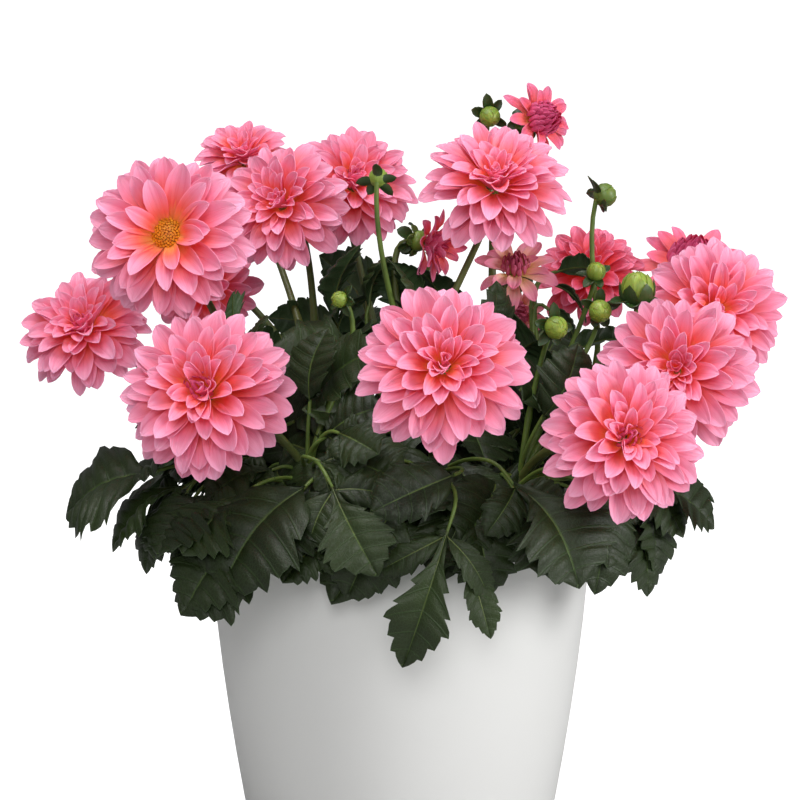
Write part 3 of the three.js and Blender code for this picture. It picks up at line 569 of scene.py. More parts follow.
def on_head(points, heart, faces):
    """Points made round +Z, put where a head or bud is."""
    turn = np.array(Vector((0, 0, 1)).rotation_difference(Vector(faces)).to_matrix())
    return points @ turn.T + np.array(heart) * MM


trial = bend_petal(petal, PETAL_WIDTH, root=(7 * MM, 5 * MM), reach=58 * MM, lean_start=1.2, lean_end=1.8,
                   curl=0.2, cup=0.8)
print("a petal of a full head, bent, in mm:", np.round(np.ptp(trial, axis=0) / MM, 1))

# %% [markdown]
# ## Heads
#
# The petals of a head stand in spirals, each turned on from the last by the golden angle, as on a
# sunflower. The first are the youngest, in the middle. Going out, each petal is longer, wider and leans
# further. A form says how many there are, and at what angle from the head's axis the first and the last
# stand. Where the heart is rolled, it says how many petals are rolled up there, how large that eye is,
# and at what angle the ring round it starts. The reaches say how far a petal goes at each of the angles,
# as a share of the head's reach.

# %% The forms of a head
FORMS = {
    "full": SimpleNamespace(petals=98, first=9, ring=21, last=106, rolled=24, eye=0.95,
                            angles=(5, 25, 45, 70, 104), reaches=(0.4, 0.6, 0.82, 0.98, 1.0)),
    "small": SimpleNamespace(petals=90, first=9, ring=21, last=106, rolled=22, eye=0.95,
                             angles=(5, 25, 45, 70, 104), reaches=(0.4, 0.6, 0.82, 0.98, 1.0)),
    "plain": SimpleNamespace(petals=72, first=10, ring=21, last=104, rolled=20, eye=0.95,
                             angles=(5, 25, 45, 70, 103), reaches=(0.42, 0.62, 0.84, 0.98, 1.0)),
    "open": SimpleNamespace(petals=72, first=42, ring=42, last=105, rolled=0, eye=1.0,
                            angles=(38, 55, 80, 104), reaches=(0.72, 0.92, 1.0, 0.98)),
    "opening": SimpleNamespace(petals=19, first=52, ring=52, last=92, rolled=54, eye=2.2,
                               angles=(50, 66, 92), reaches=(0.86, 1.0, 1.0)),
    "opening_side": SimpleNamespace(petals=26, first=20, ring=20, last=80, rolled=40, eye=1.5,
                                    angles=(20, 45, 80), reaches=(0.92, 1.0, 0.9)),
    "star": SimpleNamespace(petals=17, first=52, ring=52, last=96, rolled=26, eye=1.6,
                            angles=(50, 66, 96), reaches=(0.7, 0.96, 1.0)),
}
GOLDEN_TURN = math.radians(137.508)
ROOT_SHARE = 0.15  # the dome that the petals stand on, as a share of the reach
FULL_REACH = 58 * MM
WIDEST = 18 * MM  # the widest petal of a head of full reach
print(len(FORMS), "forms, of", min(form.petals for form in FORMS.values()), "to",
      max(form.petals for form in FORMS.values()), "petals")

# %% [markdown]
# A head could be a few rings of equal petals, but then it looks stamped. Here every petal has its own
# draw of length, width, cup and ruffle. Its place, lean and twist are drawn too, and stray most towards
# the heart, where a real head is least in order. The draws are seeded with the head's name, so each run
# grows the same plant. A rolled heart is grown apart: narrow petals that lean over a round bud and leave
# a small hollow in its middle.

# %% Growing a head
OLDEST = 104  # the angle from the axis, in degrees, at which a petal is at its oldest
HEAD_LIFT = 11  # how far an open head is turned towards the sky, in degrees
LARGE_EYE = 1.2  # an eye above this size belongs to an opening head, and stands straight


def raised(faces, degrees):
    """The way a head faces, turned towards the sky."""
    faces = Vector(faces).normalized()
    side = faces.cross(Vector((0, 0, 1))).normalized()
    return Matrix.Rotation(math.radians(degrees), 3, side) @ faces


def grow_eye(bunch, heart, faces, reach, form, chance):
    """The youngest petals, still rolled up, that lean over a round bud."""
    size = form.eye * 0.17 * reach
    for i in range(form.rolled):
        share = (i + 1) / form.rolled
        tilt = 1.25 * share ** 0.7
        root = (size * (0.25 + 0.75 * math.sin(tilt)), 0.14 * reach + 0.25 * size * math.cos(tilt))
        height = 0.2 * reach + size * (1.75 - 0.55 * share) * chance.uniform(0.93, 1.05)
        bend = 0.8 + 0.55 * share
        width = chance.uniform(0.5, 0.66) * size * (0.7 + 0.5 * share)
        lean = 0.55 * tilt
        points = bend_petal(petal, width, root, height, lean_start=lean + 0.15, lean_end=lean - bend,
                            curl=chance.uniform(-0.1, 0.25), cup=chance.uniform(1.3, 1.8), twist=0.35)
        points = turned(points, i * GOLDEN_TURN + chance.uniform(-0.1, 0.1))
        bunch.add(petal, on_head(points, heart, faces), age=0.1, back=PETAL_BACK, tint=chance.random(),
                  young=1 - 0.4 * share)


def grow_head(name, heart, faces, reach, form_name, heart_look):
    """One head's petals, from the youngest in the middle to the oldest at the back."""
    form = FORMS[form_name]
    chance = random.Random(name)
    bunch = Bunch("age", "back", "tint", "young")
    reach = reach * MM
    widest = WIDEST * (reach / FULL_REACH) ** 0.75
    faces = raised(faces, 0 if "open" in form_name or form_name == "star" else HEAD_LIFT)
    first = form.first
    if heart_look == "rolled":
        first = form.ring
        lean = 0 if form.eye > LARGE_EYE else 0.28
        eye_faces = faces + Vector((chance.uniform(-lean, lean), 0, chance.uniform(-0.5, 0.7) * lean))
        grow_eye(bunch, heart, eye_faces, reach, form, chance)
    for i in range(form.petals):
        share = i / (form.petals - 1)
        angle = first + (form.last - first) * share ** 0.75
        loose = np.interp(angle, [15, 45, 80], [1.0, 0.6, 0.45])  # the middle petals stand less in order
        angle += chance.uniform(-11, 11) * loose
        here = np.interp(angle, form.angles, form.reaches) * reach * chance.uniform(0.89, 1.01)
        tilt = math.radians(angle)
        dome = ROOT_SHARE * reach
        root = (dome * math.sin(0.8 * tilt), dome * math.cos(0.8 * tilt))
        width = widest * np.interp(angle, [10, 25, 45, 70], [0.5, 0.62, 0.86, 1]) * chance.uniform(0.82, 1.1)
        lean = np.interp(angle, [10, 60, OLDEST], [0.1, 0.2, 0.38]) + chance.uniform(-0.22, 0.22) * loose
        curl = chance.uniform(-0.55, 0.4)
        cup = np.interp(angle, [10, 40, 80, OLDEST], [1.3, 1.1, 0.85, 0.6]) * chance.uniform(0.75, 1.25)
        points = bend_petal(petal, width, root, here, lean_start=tilt - 0.3, lean_end=tilt + lean,
                            curl=curl, cup=cup, twist=chance.uniform(-0.6, 0.6) * loose,
                            ruffle=chance.uniform(0, 1.1) * MM, phase=chance.uniform(0, 6))
        points = on_head(turned(points, i * GOLDEN_TURN + chance.uniform(-0.36, 0.36) * loose), heart, faces)
        bunch.add(petal, points, age=angle / OLDEST, back=PETAL_BACK, tint=chance.random())
    return bunch


GROWN_HEADS = {name: grow_head(name, *row) for name, row in HEADS.items()}
print("points in the heads:", sum(bunch.count for bunch in GROWN_HEADS.values()))

# %% [markdown]
# The colour of a petal changes along it: peach at the root, coral, then pink, and mauve at the edge and
# on the back. Fine darker fibres run along it. The outer petals are pinker and the young ones raspberry.
# A little light goes into a petal and comes out again. Subsurface scattering gives some of that, but deep
# between the petals it stays too dark and grey. So a petal also gives off a painted glow of its own colour,
# an emission that no lamp casts, standing in for light that passes through; more of it when it is young.

# %% The petals' material
def petal_material(name, root, middle, outer, edge, back, young):
    # The emission is a painted glow: the petals give off light of their own, though they are no lamp.
    material, tree, shader = new_material(
        name, 0.48, Subsurface_Weight=0.25, Subsurface_Scale=0.002, Subsurface_Radius=(1.0, 0.5, 0.45),
        Specular_IOR_Level=0.35, Emission_Strength=0.1)
    flat = wire(tree, "ShaderNodeSeparateXYZ", {0: tree.nodes.new("ShaderNodeTexCoord").outputs["UV"]})
    across = flat.outputs["X"]
    along = flat.outputs["Y"]
    age = mark_of(tree, "age")
    tint = mark_of(tree, "tint")
    shifted = maths(tree, "ADD", along, maths(tree, "MULTIPLY", maths(tree, "SUBTRACT", age, 0.5), 0.16))
    shifted = maths(tree, "ADD", shifted, maths(tree, "MULTIPLY", maths(tree, "SUBTRACT", tint, 0.5), 0.16))
    face = ramp(tree, shifted, (0.1, root), (0.98, edge), (0.34, middle), (0.66, outer))
    side = maths(tree, "ABSOLUTE", maths(tree, "SUBTRACT", maths(tree, "MULTIPLY", across, 2.0), 1.0))
    rim = maths(tree, "MULTIPLY", spread(tree, side, 0.3, 1.0), spread(tree, along, 0.3, 0.8))
    face = blend(tree, maths(tree, "MULTIPLY", rim, 0.25), face, tone(edge))
    lines = use_group(tree, FIBRES, Lines=26.0, Stretch=1.4, Offset=tint)
    reverse = blend(tree, maths(tree, "MULTIPLY", lines, 0.45), tone(back), tone(outer))
    colour = blend(tree, spread(tree, mark_of(tree, "back"), 0.5, 1.0), face, reverse)
    colour = blend(tree, maths(tree, "MULTIPLY", mark_of(tree, "young"), 0.9), colour, tone(young))
    darker = blend(tree, 1.0, colour, (0.92, 0.66, 0.72, 1), "MULTIPLY")
    colour = blend(tree, maths(tree, "MULTIPLY", lines, 0.5), colour, darker)
    tree.links.new(colour, shader.inputs["Base Color"])
    # Painted glow: the colour squared, strongest on the young inner petals deep in the hollows, stands in for
    # light passing through.
    painted_glow_colour = blend(tree, 1.0, colour, colour, "MULTIPLY")
    glow = spread(tree, age, 0.25, 0.9, 1.0, 0.4)
    tree.links.new(blend(tree, 1.0, painted_glow_colour, glow, "MULTIPLY"), shader.inputs["Emission Color"])
    strip = wire(tree, "ShaderNodeCombineXYZ", {0: across}).outputs[0]
    groove = wire(tree, "ShaderNodeTexWave", {"Vector": strip, "Scale": 0.95, "Phase Offset": math.pi})
    height = maths(tree, "ADD", maths(tree, "MULTIPLY", lines, 0.4), groove.outputs["Fac"])
    bump = wire(tree, "ShaderNodeBump", {"Height": height, "Strength": 0.5, "Distance": 0.0006})
    tree.links.new(bump.outputs[0], shader.inputs["Normal"])
    return material


PETAL_PINK = petal_material("petal_pink", root="#FFA850", middle="#FB7264", outer="#FA90AE", edge="#F9ACCA",
                            back="#E48AB0", young="#CE4C78")
PETAL_RASPBERRY = petal_material("petal_raspberry", root="#F2A050", middle="#F2726C", outer="#EC6A88",
                                 edge="#E286AA", back="#CC7096", young="#C83E70")
# A darker copy of the pink: its coral is partly the head's own colour and partly painted shade.
PETAL_CORAL_SHADED = petal_material("petal_coral_shaded", root="#FF8A48", middle="#F25450", outer="#EA5E7A", edge="#EC86A6",
                             back="#D06A8A", young="#B83058")
PETAL_PEACH = petal_material("petal_peach", root="#ECD870", middle="#F8BCA4", outer="#F49CB0", edge="#EC7E9E",
                             back="#E088A4", young="#A02C50")
print("materials:", [material.name for material in (PETAL_PINK, PETAL_RASPBERRY, PETAL_CORAL_SHADED, PETAL_PEACH)])

# %% [markdown]
# Most open heads are pink and most opening ones raspberry. One that sits deep in the shade is a darker
# coral, partly its own colour and partly painted shade, and two small opening ones are peach with dark
# hearts. Each head becomes one piece, which stands for its solid.

# %% Finishing the heads

COLOURINGS = {
    "opening_bloom_star": PETAL_PEACH,
    "opening_bloom_low": PETAL_PEACH,
    # The head deep in the shade gets the darker coral, which carries painted shade in its colour.
    "bloom_right_inner": PETAL_CORAL_SHADED,
}
for name, bunch in GROWN_HEADS.items():
    is_opening = name.startswith("opening")
    usual = PETAL_RASPBERRY if is_opening else PETAL_PINK
    piece = bunch.finish(name + "_petals", COLOURINGS.get(name, usual))
    settle(piece, "young_petals" if is_opening else "petals", name)
print("heads finished:", len(GROWN_HEADS))

# %% [markdown]
# ## The disc of florets
#
# Only the oldest head shows its middle: a low dome packed with tiny tubular florets, standing in spirals.
# One floret is a small tapered cylinder. Its copies stand on the dome, the open outer ones taller than
# the shut ones.

# %% The floret disc
FLORETS = 130
DISC_RADIUS = 8.2 * MM
DISC_HEIGHT = 5.5 * MM
DISC_BASE = 9 * MM  # how far the disc's rim stands in front of the heart


def make_floret_disc():
    bpy.ops.mesh.primitive_cone_add(vertices=5, radius1=0.55 * MM, radius2=0.85 * MM, depth=1)
    floret = read_blank(bpy.context.object)
    bpy.ops.mesh.primitive_uv_sphere_add(segments=20, ring_count=10, radius=1)
    dome = read_blank(bpy.context.object)
    heart, faces = HEADS["bloom_open_centre"][:2]
    chance = random.Random("florets")
    bunch = Bunch("tint", "age")
    base = np.array([0, 0, DISC_BASE])
    points = dome.points * np.array([DISC_RADIUS, DISC_RADIUS, DISC_HEIGHT]) + base
    bunch.add(dome, on_head(points, heart, faces), tint=0.2, age=0.6)
    for i in range(FLORETS):
        share = math.sqrt((i + 0.5) / FLORETS)
        height = (3.6 + 1.8 * max(0, share - 0.55) + chance.uniform(-0.4, 0.4)) * MM
        lean = Matrix.Rotation(0.9 * share + chance.uniform(-0.08, 0.08), 3, "Y")
        points = floret.points * np.array([1, 1, height]) + np.array([0, 0, 0.5 * height])
        points = points @ np.array(lean).T
        rise = DISC_HEIGHT * math.sqrt(1 - 0.92 * share * share)
        points = points + np.array([0.94 * DISC_RADIUS * share, 0, DISC_BASE + rise - 1.2 * MM])
        ends = floret.points[:, 2] > 0
        bunch.add(floret, on_head(turned(points, i * GOLDEN_TURN), heart, faces),
                  tint=np.where(ends, chance.uniform(0.5, 1), 0.0), age=share)
    return bunch


def floret_material():
    """Orange at the foot of each tube, and golden at its mouth, brighter on the outer ones."""
    material, tree, shader = new_material("floret_yellow", 0.6, Subsurface_Weight=0.2, Subsurface_Scale=0.002)
    mouth = blend(tree, mark_of(tree, "age"), tone("#F59A1C"), tone("#FFB928"))
    tree.links.new(blend(tree, mark_of(tree, "tint"), tone("#C65A10"), mouth), shader.inputs["Base Color"])
    return material


florets = make_floret_disc().finish("florets", floret_material(), sharp=40)
settle(florets, "disc", "floret_disc")
print("florets:", FLORETS, "faces:", len(florets.data.polygons))

# %% [markdown]
# ## Stems
#
# Every stalk, flower stem and leaf stem is one tube, drawn out along a curve. A curve object with a bevel
# could give it too, but a swept tube can be thicker at its joints. The curves are those of the solids, so
# the heads stay where they are. The tube is a closed cylinder, extruded row by row, and each copy is
# swept along its own way.

# %% The tube blank
TUBE_SIDES = 7
TUBE_ROWS = 14


def make_tube():
    bpy.ops.mesh.primitive_circle_add(vertices=TUBE_SIDES, radius=1, fill_type="NGON")
    tube = bpy.context.object
    edit(tube)
    bpy.ops.mesh.select_all(action="SELECT")
    for row in range(TUBE_ROWS):
        bpy.ops.mesh.extrude_region_move(TRANSFORM_OT_translate={"value": (0, 0, 1 / TUBE_ROWS)})
    bpy.ops.mesh.select_all(action="SELECT")
    bpy.ops.mesh.normals_make_consistent(inside=False)
    bpy.ops.object.mode_set(mode="OBJECT")
    return read_blank(tube)


deselect_all()
tube = make_tube()
print("tube blank:", len(tube.faces), "faces")

# %% [markdown]
# The way of a stem is a cubic curve with two ends and two handles. Along it each ring of the tube is set
# square to the way, and turned as little as possible from the ring before, so the tube doesn't twist.

# %% Sweeping a tube
JOINT_SWELLING = 0.28  # how much thicker a stem is at a joint, as a share of its radius
JOINT_LENGTH = 0.05  # as a share of the stem's length


def bezier(*corners):
    """A cubic curve as a function of the share of its way."""
    a, b, c, d = [np.array(corner, float) for corner in corners]
    return lambda t: a * (1 - t) ** 3 + 3 * b * t * (1 - t) ** 2 + 3 * c * t * t * (1 - t) + d * t ** 3


def sweep(blank, path, start_radius, end_radius, joints=()):
    """The tube along a path, thicker round its joints."""
    shares = np.linspace(0, 1, TUBE_ROWS + 1)
    centres = np.array([path(share) for share in shares])
    ways = np.gradient(centres, axis=0)
    ways /= np.linalg.norm(ways, axis=1)[:, None]
    side = np.cross(ways[0], (0.3, 0.9, 0.1))
    points = np.empty_like(blank.points)
    rows = np.rint(blank.points[:, 2] * TUBE_ROWS).astype(int)
    for row, (centre, way, share) in enumerate(zip(centres, ways, shares)):
        side = side - way * np.dot(side, way)
        side /= np.linalg.norm(side)
        up = np.cross(way, side)
        swellings = [math.exp(-((share - joint) / JOINT_LENGTH) ** 2) for joint in joints]
        radius = start_radius + (end_radius - start_radius) * share
        radius *= 1 + JOINT_SWELLING * sum(swellings)
        here = rows == row
        flat = blank.points[here]
        points[here] = centre + radius * (flat[:, :1] * side + flat[:, 1:2] * up)
    return points


trial = sweep(tube, bezier((0, 0, 0), (0, 0, 0.05), (0.02, 0, 0.08), (0.05, 0, 0.1)), 3 * MM, 2 * MM)
print("a bent stem, in mm:", np.round(np.ptp(trial, axis=0) / MM, 1))

# %% [markdown]
# ## Leaves
#
# A dahlia's leaf is a broad oval with large forward teeth. A vein runs to each tooth, and the skin bulges
# up between the veins like a quilt. The blank has four rows of points to a tooth: the vein at its tip,
# the notch past it, and two on its back. A leaf row has its place along the leaf and its share of the
# full width. The end leaflet of a compound leaf has the same rows, but its lobes are cut deeper, so it
# has shares of its own. The columns of points are drawn together at the midrib, where the skin turns down
# most.

# %% The leaflet blank
LEAF_COLUMNS = 8
COLUMN_PLACES = (0, 0.07, 0.38, 0.71, 1)  # from the midrib to the edge, where an even grid has quarters
COLUMN_BULGES = (0, 0.25, 1, 0.9, 0.3)
TOOTH_HOOK = 0.012  # how far the tip of a tooth bends forward, as a share of the length
LEAF_ROWS = (
    (0.0, 0.04), (0.05, 0.28), (0.1, 0.52), (0.15, 0.7), (0.2, 0.84), (0.24, 0.93), (0.262, 0.8), (0.31, 0.9),
    (0.37, 0.99), (0.42, 1.05), (0.442, 0.89), (0.49, 0.94), (0.545, 0.97), (0.59, 0.98), (0.61, 0.8),
    (0.65, 0.82), (0.7, 0.8), (0.74, 0.77), (0.757, 0.59), (0.79, 0.58), (0.835, 0.53), (0.87, 0.46),
    (0.885, 0.33), (0.92, 0.27), (0.965, 0.15), (1.0, 0.0))
LOBES = (
    0.05, 0.12, 0.15, 0.2, 0.36, 0.6, 0.44, 0.6, 0.84, 1.0, 0.78, 0.88, 0.96,
    1.0, 0.77, 0.82, 0.83, 0.82, 0.58, 0.58, 0.55, 0.5, 0.34, 0.28, 0.16, 0.0)
ROWS_TO_A_TOOTH = 4
ROW_BULGES = (0.75, 0.0, 0.5, 1.0)  # how far the skin rises on each row of a tooth
LEAF_THICKNESS = 0.5 * MM


def make_leaflet():
    """A blank of length and width 1. Its layers are apart only to tell its upper side from its underside."""
    leaflet = flat_blank(1, 1, 0.1, LEAF_COLUMNS, LEAF_ROWS)
    side = 2 * leaflet.layout[:, 0] - 1
    row = np.rint(leaflet.layout[:, 1] * (len(LEAF_ROWS) - 1)).astype(int)
    row_of_tooth = row % ROWS_TO_A_TOOTH
    leaflet.share = np.array([share for _, share in LEAF_ROWS])[row]
    leaflet.lobed = np.array(LOBES)[row]
    leaflet.hook = TOOTH_HOOK * (row_of_tooth == 1) * side ** 4
    leaflet.side = np.sign(side) * np.interp(np.abs(side), [0, 0.25, 0.5, 0.75, 1], COLUMN_PLACES)
    across = np.interp(np.abs(leaflet.side), COLUMN_PLACES, COLUMN_BULGES)
    leaflet.bulge = np.array(ROW_BULGES)[row_of_tooth] * across
    leaflet.layer = np.sign(leaflet.points[:, 2])
    return leaflet


deselect_all()
leaflet = make_leaflet()
print("leaflet blank:", len(leaflet.faces), "faces")

# %% [markdown]
# A leaf lies between its base and its tip, with one side to the sky. It arches up and then droops, folds
# a little along its midrib, and ripples at its edge. Its two halves are never alike: one is wider, and
# their teeth are cut unevenly. The midrib follows the same arch, so both ask one function where it lies.

# %% Bending a leaflet
LEAF_FOLD = 0.26  # how far each half is folded up, in radians


def leaf_shape(base, tip, normal, chance, roll=0.12):
    """Where a leaflet lies, and the bends that its blade and its midrib share."""
    length = np.linalg.norm(tip - base)
    along = (tip - base) / length
    normal = np.array(normal, float)
    normal = normal - along * np.dot(normal, along)
    normal /= np.linalg.norm(normal)
    across = np.cross(normal, along)
    turn = chance.uniform(-roll, roll)
    across, normal = (across * math.cos(turn) + normal * math.sin(turn),
                      normal * math.cos(turn) - across * math.sin(turn))
    return SimpleNamespace(base=base, length=length, along=along, across=across, normal=normal,
                           arch=0.1 + chance.uniform(-0.03, 0.03), droop=0.12 + chance.uniform(-0.03, 0.1),
                           sway=chance.uniform(-0.05, 0.05))


def midrib_place(shape, step):
    """How far the midrib lies to the side and above the straight line from base to tip."""
    sideways = shape.sway * shape.length * step * (1 - step) * 4
    return sideways, shape.length * (shape.arch * np.sin(math.pi * step) - shape.droop * step ** 2)


def place_leaflet(shape, width, chance, lobed):
    """A copy of the leaflet blank, bent to a shape: folded, arched, quilted, rippled, with uneven teeth."""
    side = leaflet.side
    share = leaflet.lobed if lobed else leaflet.share
    length = shape.length
    straight = leaflet.points[:, 1]
    forward = 0.17 * np.abs(side) ** 1.2 * np.clip(1.6 * (1 - straight), 0, 1) * np.clip(4 * straight, 0.3, 1)
    step = straight + forward + leaflet.hook
    depth = 1 + 0.07 * np.sin(17 * straight + 3 * np.sign(side) + chance.uniform(0, 6))
    skew = 1 + chance.uniform(-0.14, 0.14) * np.sign(side)
    half = side * share * depth * skew * width / 2
    bent = LEAF_FOLD * (1 - 0.4 * step) + chance.uniform(-0.08, 0.08)
    middle, lift = midrib_place(shape, step)
    lift = lift + np.abs(half) * np.sin(bent) - 0.35 * half ** 2 / length
    lift += 0.045 * width * leaflet.bulge * np.sqrt(share) - 0.012 * width * (np.abs(side) < 0.05)
    waves = chance.uniform(2.2, 3.4)
    ripple = np.sin(2 * math.pi * waves * step + chance.uniform(0, 6) + 1.9 * np.sign(side))
    lift += 0.03 * width * chance.uniform(0.4, 1.4) * ripple * side ** 2 * share
    rim = np.clip(np.abs(side) - 0.6, 0, 1) ** 2 * width * share
    lift += chance.uniform(-0.5, 0.3) * rim
    lift += leaflet.layer * LEAF_THICKNESS / 2
    sideways = half * np.cos(bent) + middle
    return (shape.base + (step * length)[:, None] * shape.along + sideways[:, None] * shape.across
            + lift[:, None] * shape.normal)


trial_shape = leaf_shape(np.zeros(3), np.array([0.08, 0, 0]), (0, 0, 1), random.Random("trial"))
trial = place_leaflet(trial_shape, 0.05, random.Random("trial"), lobed=False)
print("a leaf of 80 by 50 mm, bent, in mm:", np.round(np.ptp(trial, axis=0) / MM, 1))

# %% [markdown]
# A simple leaf is one leaflet on a leaf stem. A compound leaf has a lobed end leaflet and a pair of side
# leaflets below it, each turned out by about half a right angle. The midrib of a leaflet is a thin tube
# half sunk in the blade, because in the picture it stands out as a pale line.

# %% A leaf on its stem
BLADE_MARGIN = 1.1  # notches are cut into a blade, so it starts a little wider than its table says


def add_leaflet(leaves, tubes, shape, width, tint, rib, chance, lobed=False):
    """The blade and, half sunk in it, its midrib."""
    width *= BLADE_MARGIN
    leaves.add(leaflet, place_leaflet(shape, width, chance, lobed), tint=tint, under=leaflet.layer < 0)

    def path(share):
        step = 0.96 * share
        sideways, lift = midrib_place(shape, step)
        lift -= 0.012 * width
        return shape.base + step * shape.length * shape.along + sideways * shape.across + lift * shape.normal

    tubes.add(tube, sweep(tube, path, rib, 0.2 * MM), rib=0.5, tint=tint)


def add_leaf(leaves, tubes, start, base, tip, width, side_share, chance):
    """A leaf from its start on the stalk: one leaflet, or an end leaflet and a pair below it."""
    reach = np.linalg.norm(base - start)
    length = np.linalg.norm(tip - base)
    along = (tip - base) / length
    outwards = np.array([base[0], base[1], 0]) / max(np.hypot(base[0], base[1]), 1 * MM)
    upwards = np.array([0, 0, 1.0]) + 1.2 * outwards
    path = bezier(start, start + np.array([0, 0, 0.3 * reach]), base - 0.35 * reach * along, base)
    tubes.add(tube, sweep(tube, path, 1.5 * MM, 1.25 * MM), rib=0.85, tint=chance.random())
    tint = chance.random()
    if not side_share:
        add_leaflet(leaves, tubes, leaf_shape(base, tip, upwards, chance), width, tint, 0.95 * MM, chance)
        return
    shape = leaf_shape(base + 0.1 * length * along, tip, upwards, chance)
    add_leaflet(leaves, tubes, shape, width, tint, 0.95 * MM, chance, lobed=True)
    neck = sweep(tube, lambda share: base + share * 0.11 * length * along, 1.25 * MM, 0.95 * MM)
    tubes.add(tube, neck, rib=0.8, tint=tint)
    for hand in (1, -1):
        angle = math.radians(chance.uniform(42, 60))
        way = along * math.cos(angle) + hand * shape.across * math.sin(angle)
        side_base = base + 0.14 * length * along
        side_tip = side_base + side_share * length * way - 0.06 * length * shape.normal
        side_shape = leaf_shape(side_base, side_tip, upwards, chance, roll=0.3)
        add_leaflet(leaves, tubes, side_shape, side_share * width * 0.95, tint, 0.75 * MM, chance)


trial_leaves = Bunch("tint", "under")
trial_ends = np.array([[0.03, 0, 0.02], [0.1, 0, 0]])
add_leaf(trial_leaves, Bunch("rib", "tint"), np.zeros(3), *trial_ends, 0.05, 0.5, random.Random("trial"))
print("a compound leaf has", trial_leaves.count, "points in its blades")

# %% [markdown]
# ## Bracts, flower cups and buds
#
# Under each head sit a few small leafy bracts that turn back, and inside them thin scales that hold the
# petals. A bud is a ball of the same scales, still wrapped round each other. All are copies of one small
# pointed blank: bent like a petal for a bract, or laid on a sphere for a scale.

# %% The scale blank
SCALE_ROWS = ((0.0, 0.5), (0.2, 0.85), (0.42, 1.0), (0.64, 0.9), (0.84, 0.6), (1.0, 0.0))
SCALE_FOOT = math.radians(172)  # the angle from a bud's axis at which its scales begin, near its stem

deselect_all()
scale = flat_blank(PETAL_LENGTH, PETAL_WIDTH, 0.6 * MM, 4, SCALE_ROWS)
bpy.ops.mesh.primitive_uv_sphere_add(segments=16, ring_count=10, radius=1)
ball = read_blank(bpy.context.object)


def wrap_scale(radius, turn, half_turn, top):
    """A scale laid on a ball, from its foot up to the angle `top` from the axis."""
    along = np.clip(scale.points[:, 1] / PETAL_LENGTH, 0, 1)
    across = scale.points[:, 0] / (PETAL_WIDTH / 2)
    angle = SCALE_FOOT + (math.radians(top) - SCALE_FOOT) * along
    turns = turn + across * half_turn / np.maximum(np.sin(angle), 0.35)
    out = radius * (1 + 0.05 * np.clip(along - 0.8, 0, 1) * 5) + scale.points[:, 2]
    return np.stack([out * np.sin(angle) * np.cos(turns), out * np.sin(angle) * np.sin(turns),
                     0.96 * out * np.cos(angle)], axis=1)


print("scale blank:", len(scale.faces), "faces, ball:", len(ball.faces), "faces")

# %% [markdown]
# A ring of bracts leans out from the axis and turns back. A bud has two layers of scales on its ball, the
# largest bud a third that still stands round it, and five bracts at its foot. The bud on the leaning stem
# is the least ripe, and so the darkest green. A flower cup has its round base, eight scales against the
# petals and six bracts that turn back.

# %% Bracts, buds and cups
LARGE_BUD = 9  # a bud with a larger radius than this, in millimetres, has a third layer of scales


def add_bracts(bunch, heart, faces, count, root, reach, width, leans, curl, tint, chance):
    """A ring of bracts that lean out from the axis and turn back. The leans are at root and tip."""
    for i in range(count):
        this_width = width * chance.uniform(0.85, 1.1)
        this_reach = reach * chance.uniform(0.85, 1.05)
        points = bend_petal(scale, this_width, root, this_reach, lean_start=leans[0],
                            lean_end=leans[1] + chance.uniform(-0.3, 0.4), curl=curl, cup=0.7,
                            twist=chance.uniform(-0.3, 0.3))
        points = turned(points, 2 * math.pi * (i + chance.uniform(-0.12, 0.12)) / count + chance.random())
        bunch.add(scale, on_head(points, heart, faces), tint=tint, young=0.0)


def add_bud(bunch, heart, faces, radius, chance, ripe):
    """A layer has its count, half turn, top angle, size and how young its green is."""
    layers = [(8, 0.42, 14, 1.0, 1.0), (7, 0.46, 34, 1.05, 1.0)]
    if radius > LARGE_BUD:
        layers.append((6, 0.56, 62, 1.13, 0.0))
    radius = radius * MM
    tall = np.array([1, 1, 1.12 if len(layers) > 2 else 1])
    bunch.add(ball, on_head(ball.points * tall * radius * 0.97, heart, faces), tint=0.75, young=ripe)
    for layer, (count, half, top, lift, young) in enumerate(layers):
        for i in range(count):
            turn = 2 * math.pi * (i + 0.5 * layer) / count + chance.uniform(-0.05, 0.05)
            points = wrap_scale(radius * lift, turn, half, top + chance.uniform(-4, 4)) * tall
            bunch.add(scale, on_head(points, heart, faces), tint=0.55 + 0.35 * chance.random() - 0.25 * layer,
                      young=young * ripe)
    root = (0.35 * radius, -0.92 * radius)
    bract = np.hypot(*root) + (0.7 * radius + 5 * MM)
    add_bracts(bunch, heart, faces, 5, root, bract, 0.75 * radius + 3 * MM, leans=(1.0, 1.9), curl=-0.5,
               tint=0.05, chance=chance)


def add_cup(bunch, heart, faces, reach, chance):
    """The green cup under a head: its base, the scales against the petals and the bracts turned back."""
    size = (5.5 + 3.5 * reach / 58) * MM
    base = np.array([0, 0, -0.1 * reach * MM])
    points = ball.points * np.array([size, size, 0.8 * size]) + base
    bunch.add(ball, on_head(points, heart, faces), tint=0.4, young=0.6)
    root = (0.8 * size, -0.1 * reach * MM - 0.2 * size)
    scale_reach = np.hypot(*root) + 0.2 * reach * MM
    add_bracts(bunch, heart, faces, 8, root, scale_reach, 1.1 * size, leans=(1.9, 1.75), curl=-0.1, tint=0.5,
               chance=chance)
    root = (0.6 * size, -0.1 * reach * MM - 0.55 * size)
    bract_reach = np.hypot(*root) + (7 + 0.1 * reach) * MM
    add_bracts(bunch, heart, faces, 6, root, bract_reach, 1.3 * size, leans=(2.0, 2.5), curl=0.5, tint=0.05,
               chance=chance)


trial_greens = Bunch("tint", "young")
add_cup(trial_greens, (0, 0, 0), (0, 0, 1), 58, random.Random("trial"))
print("a flower cup has", trial_greens.count, "points")

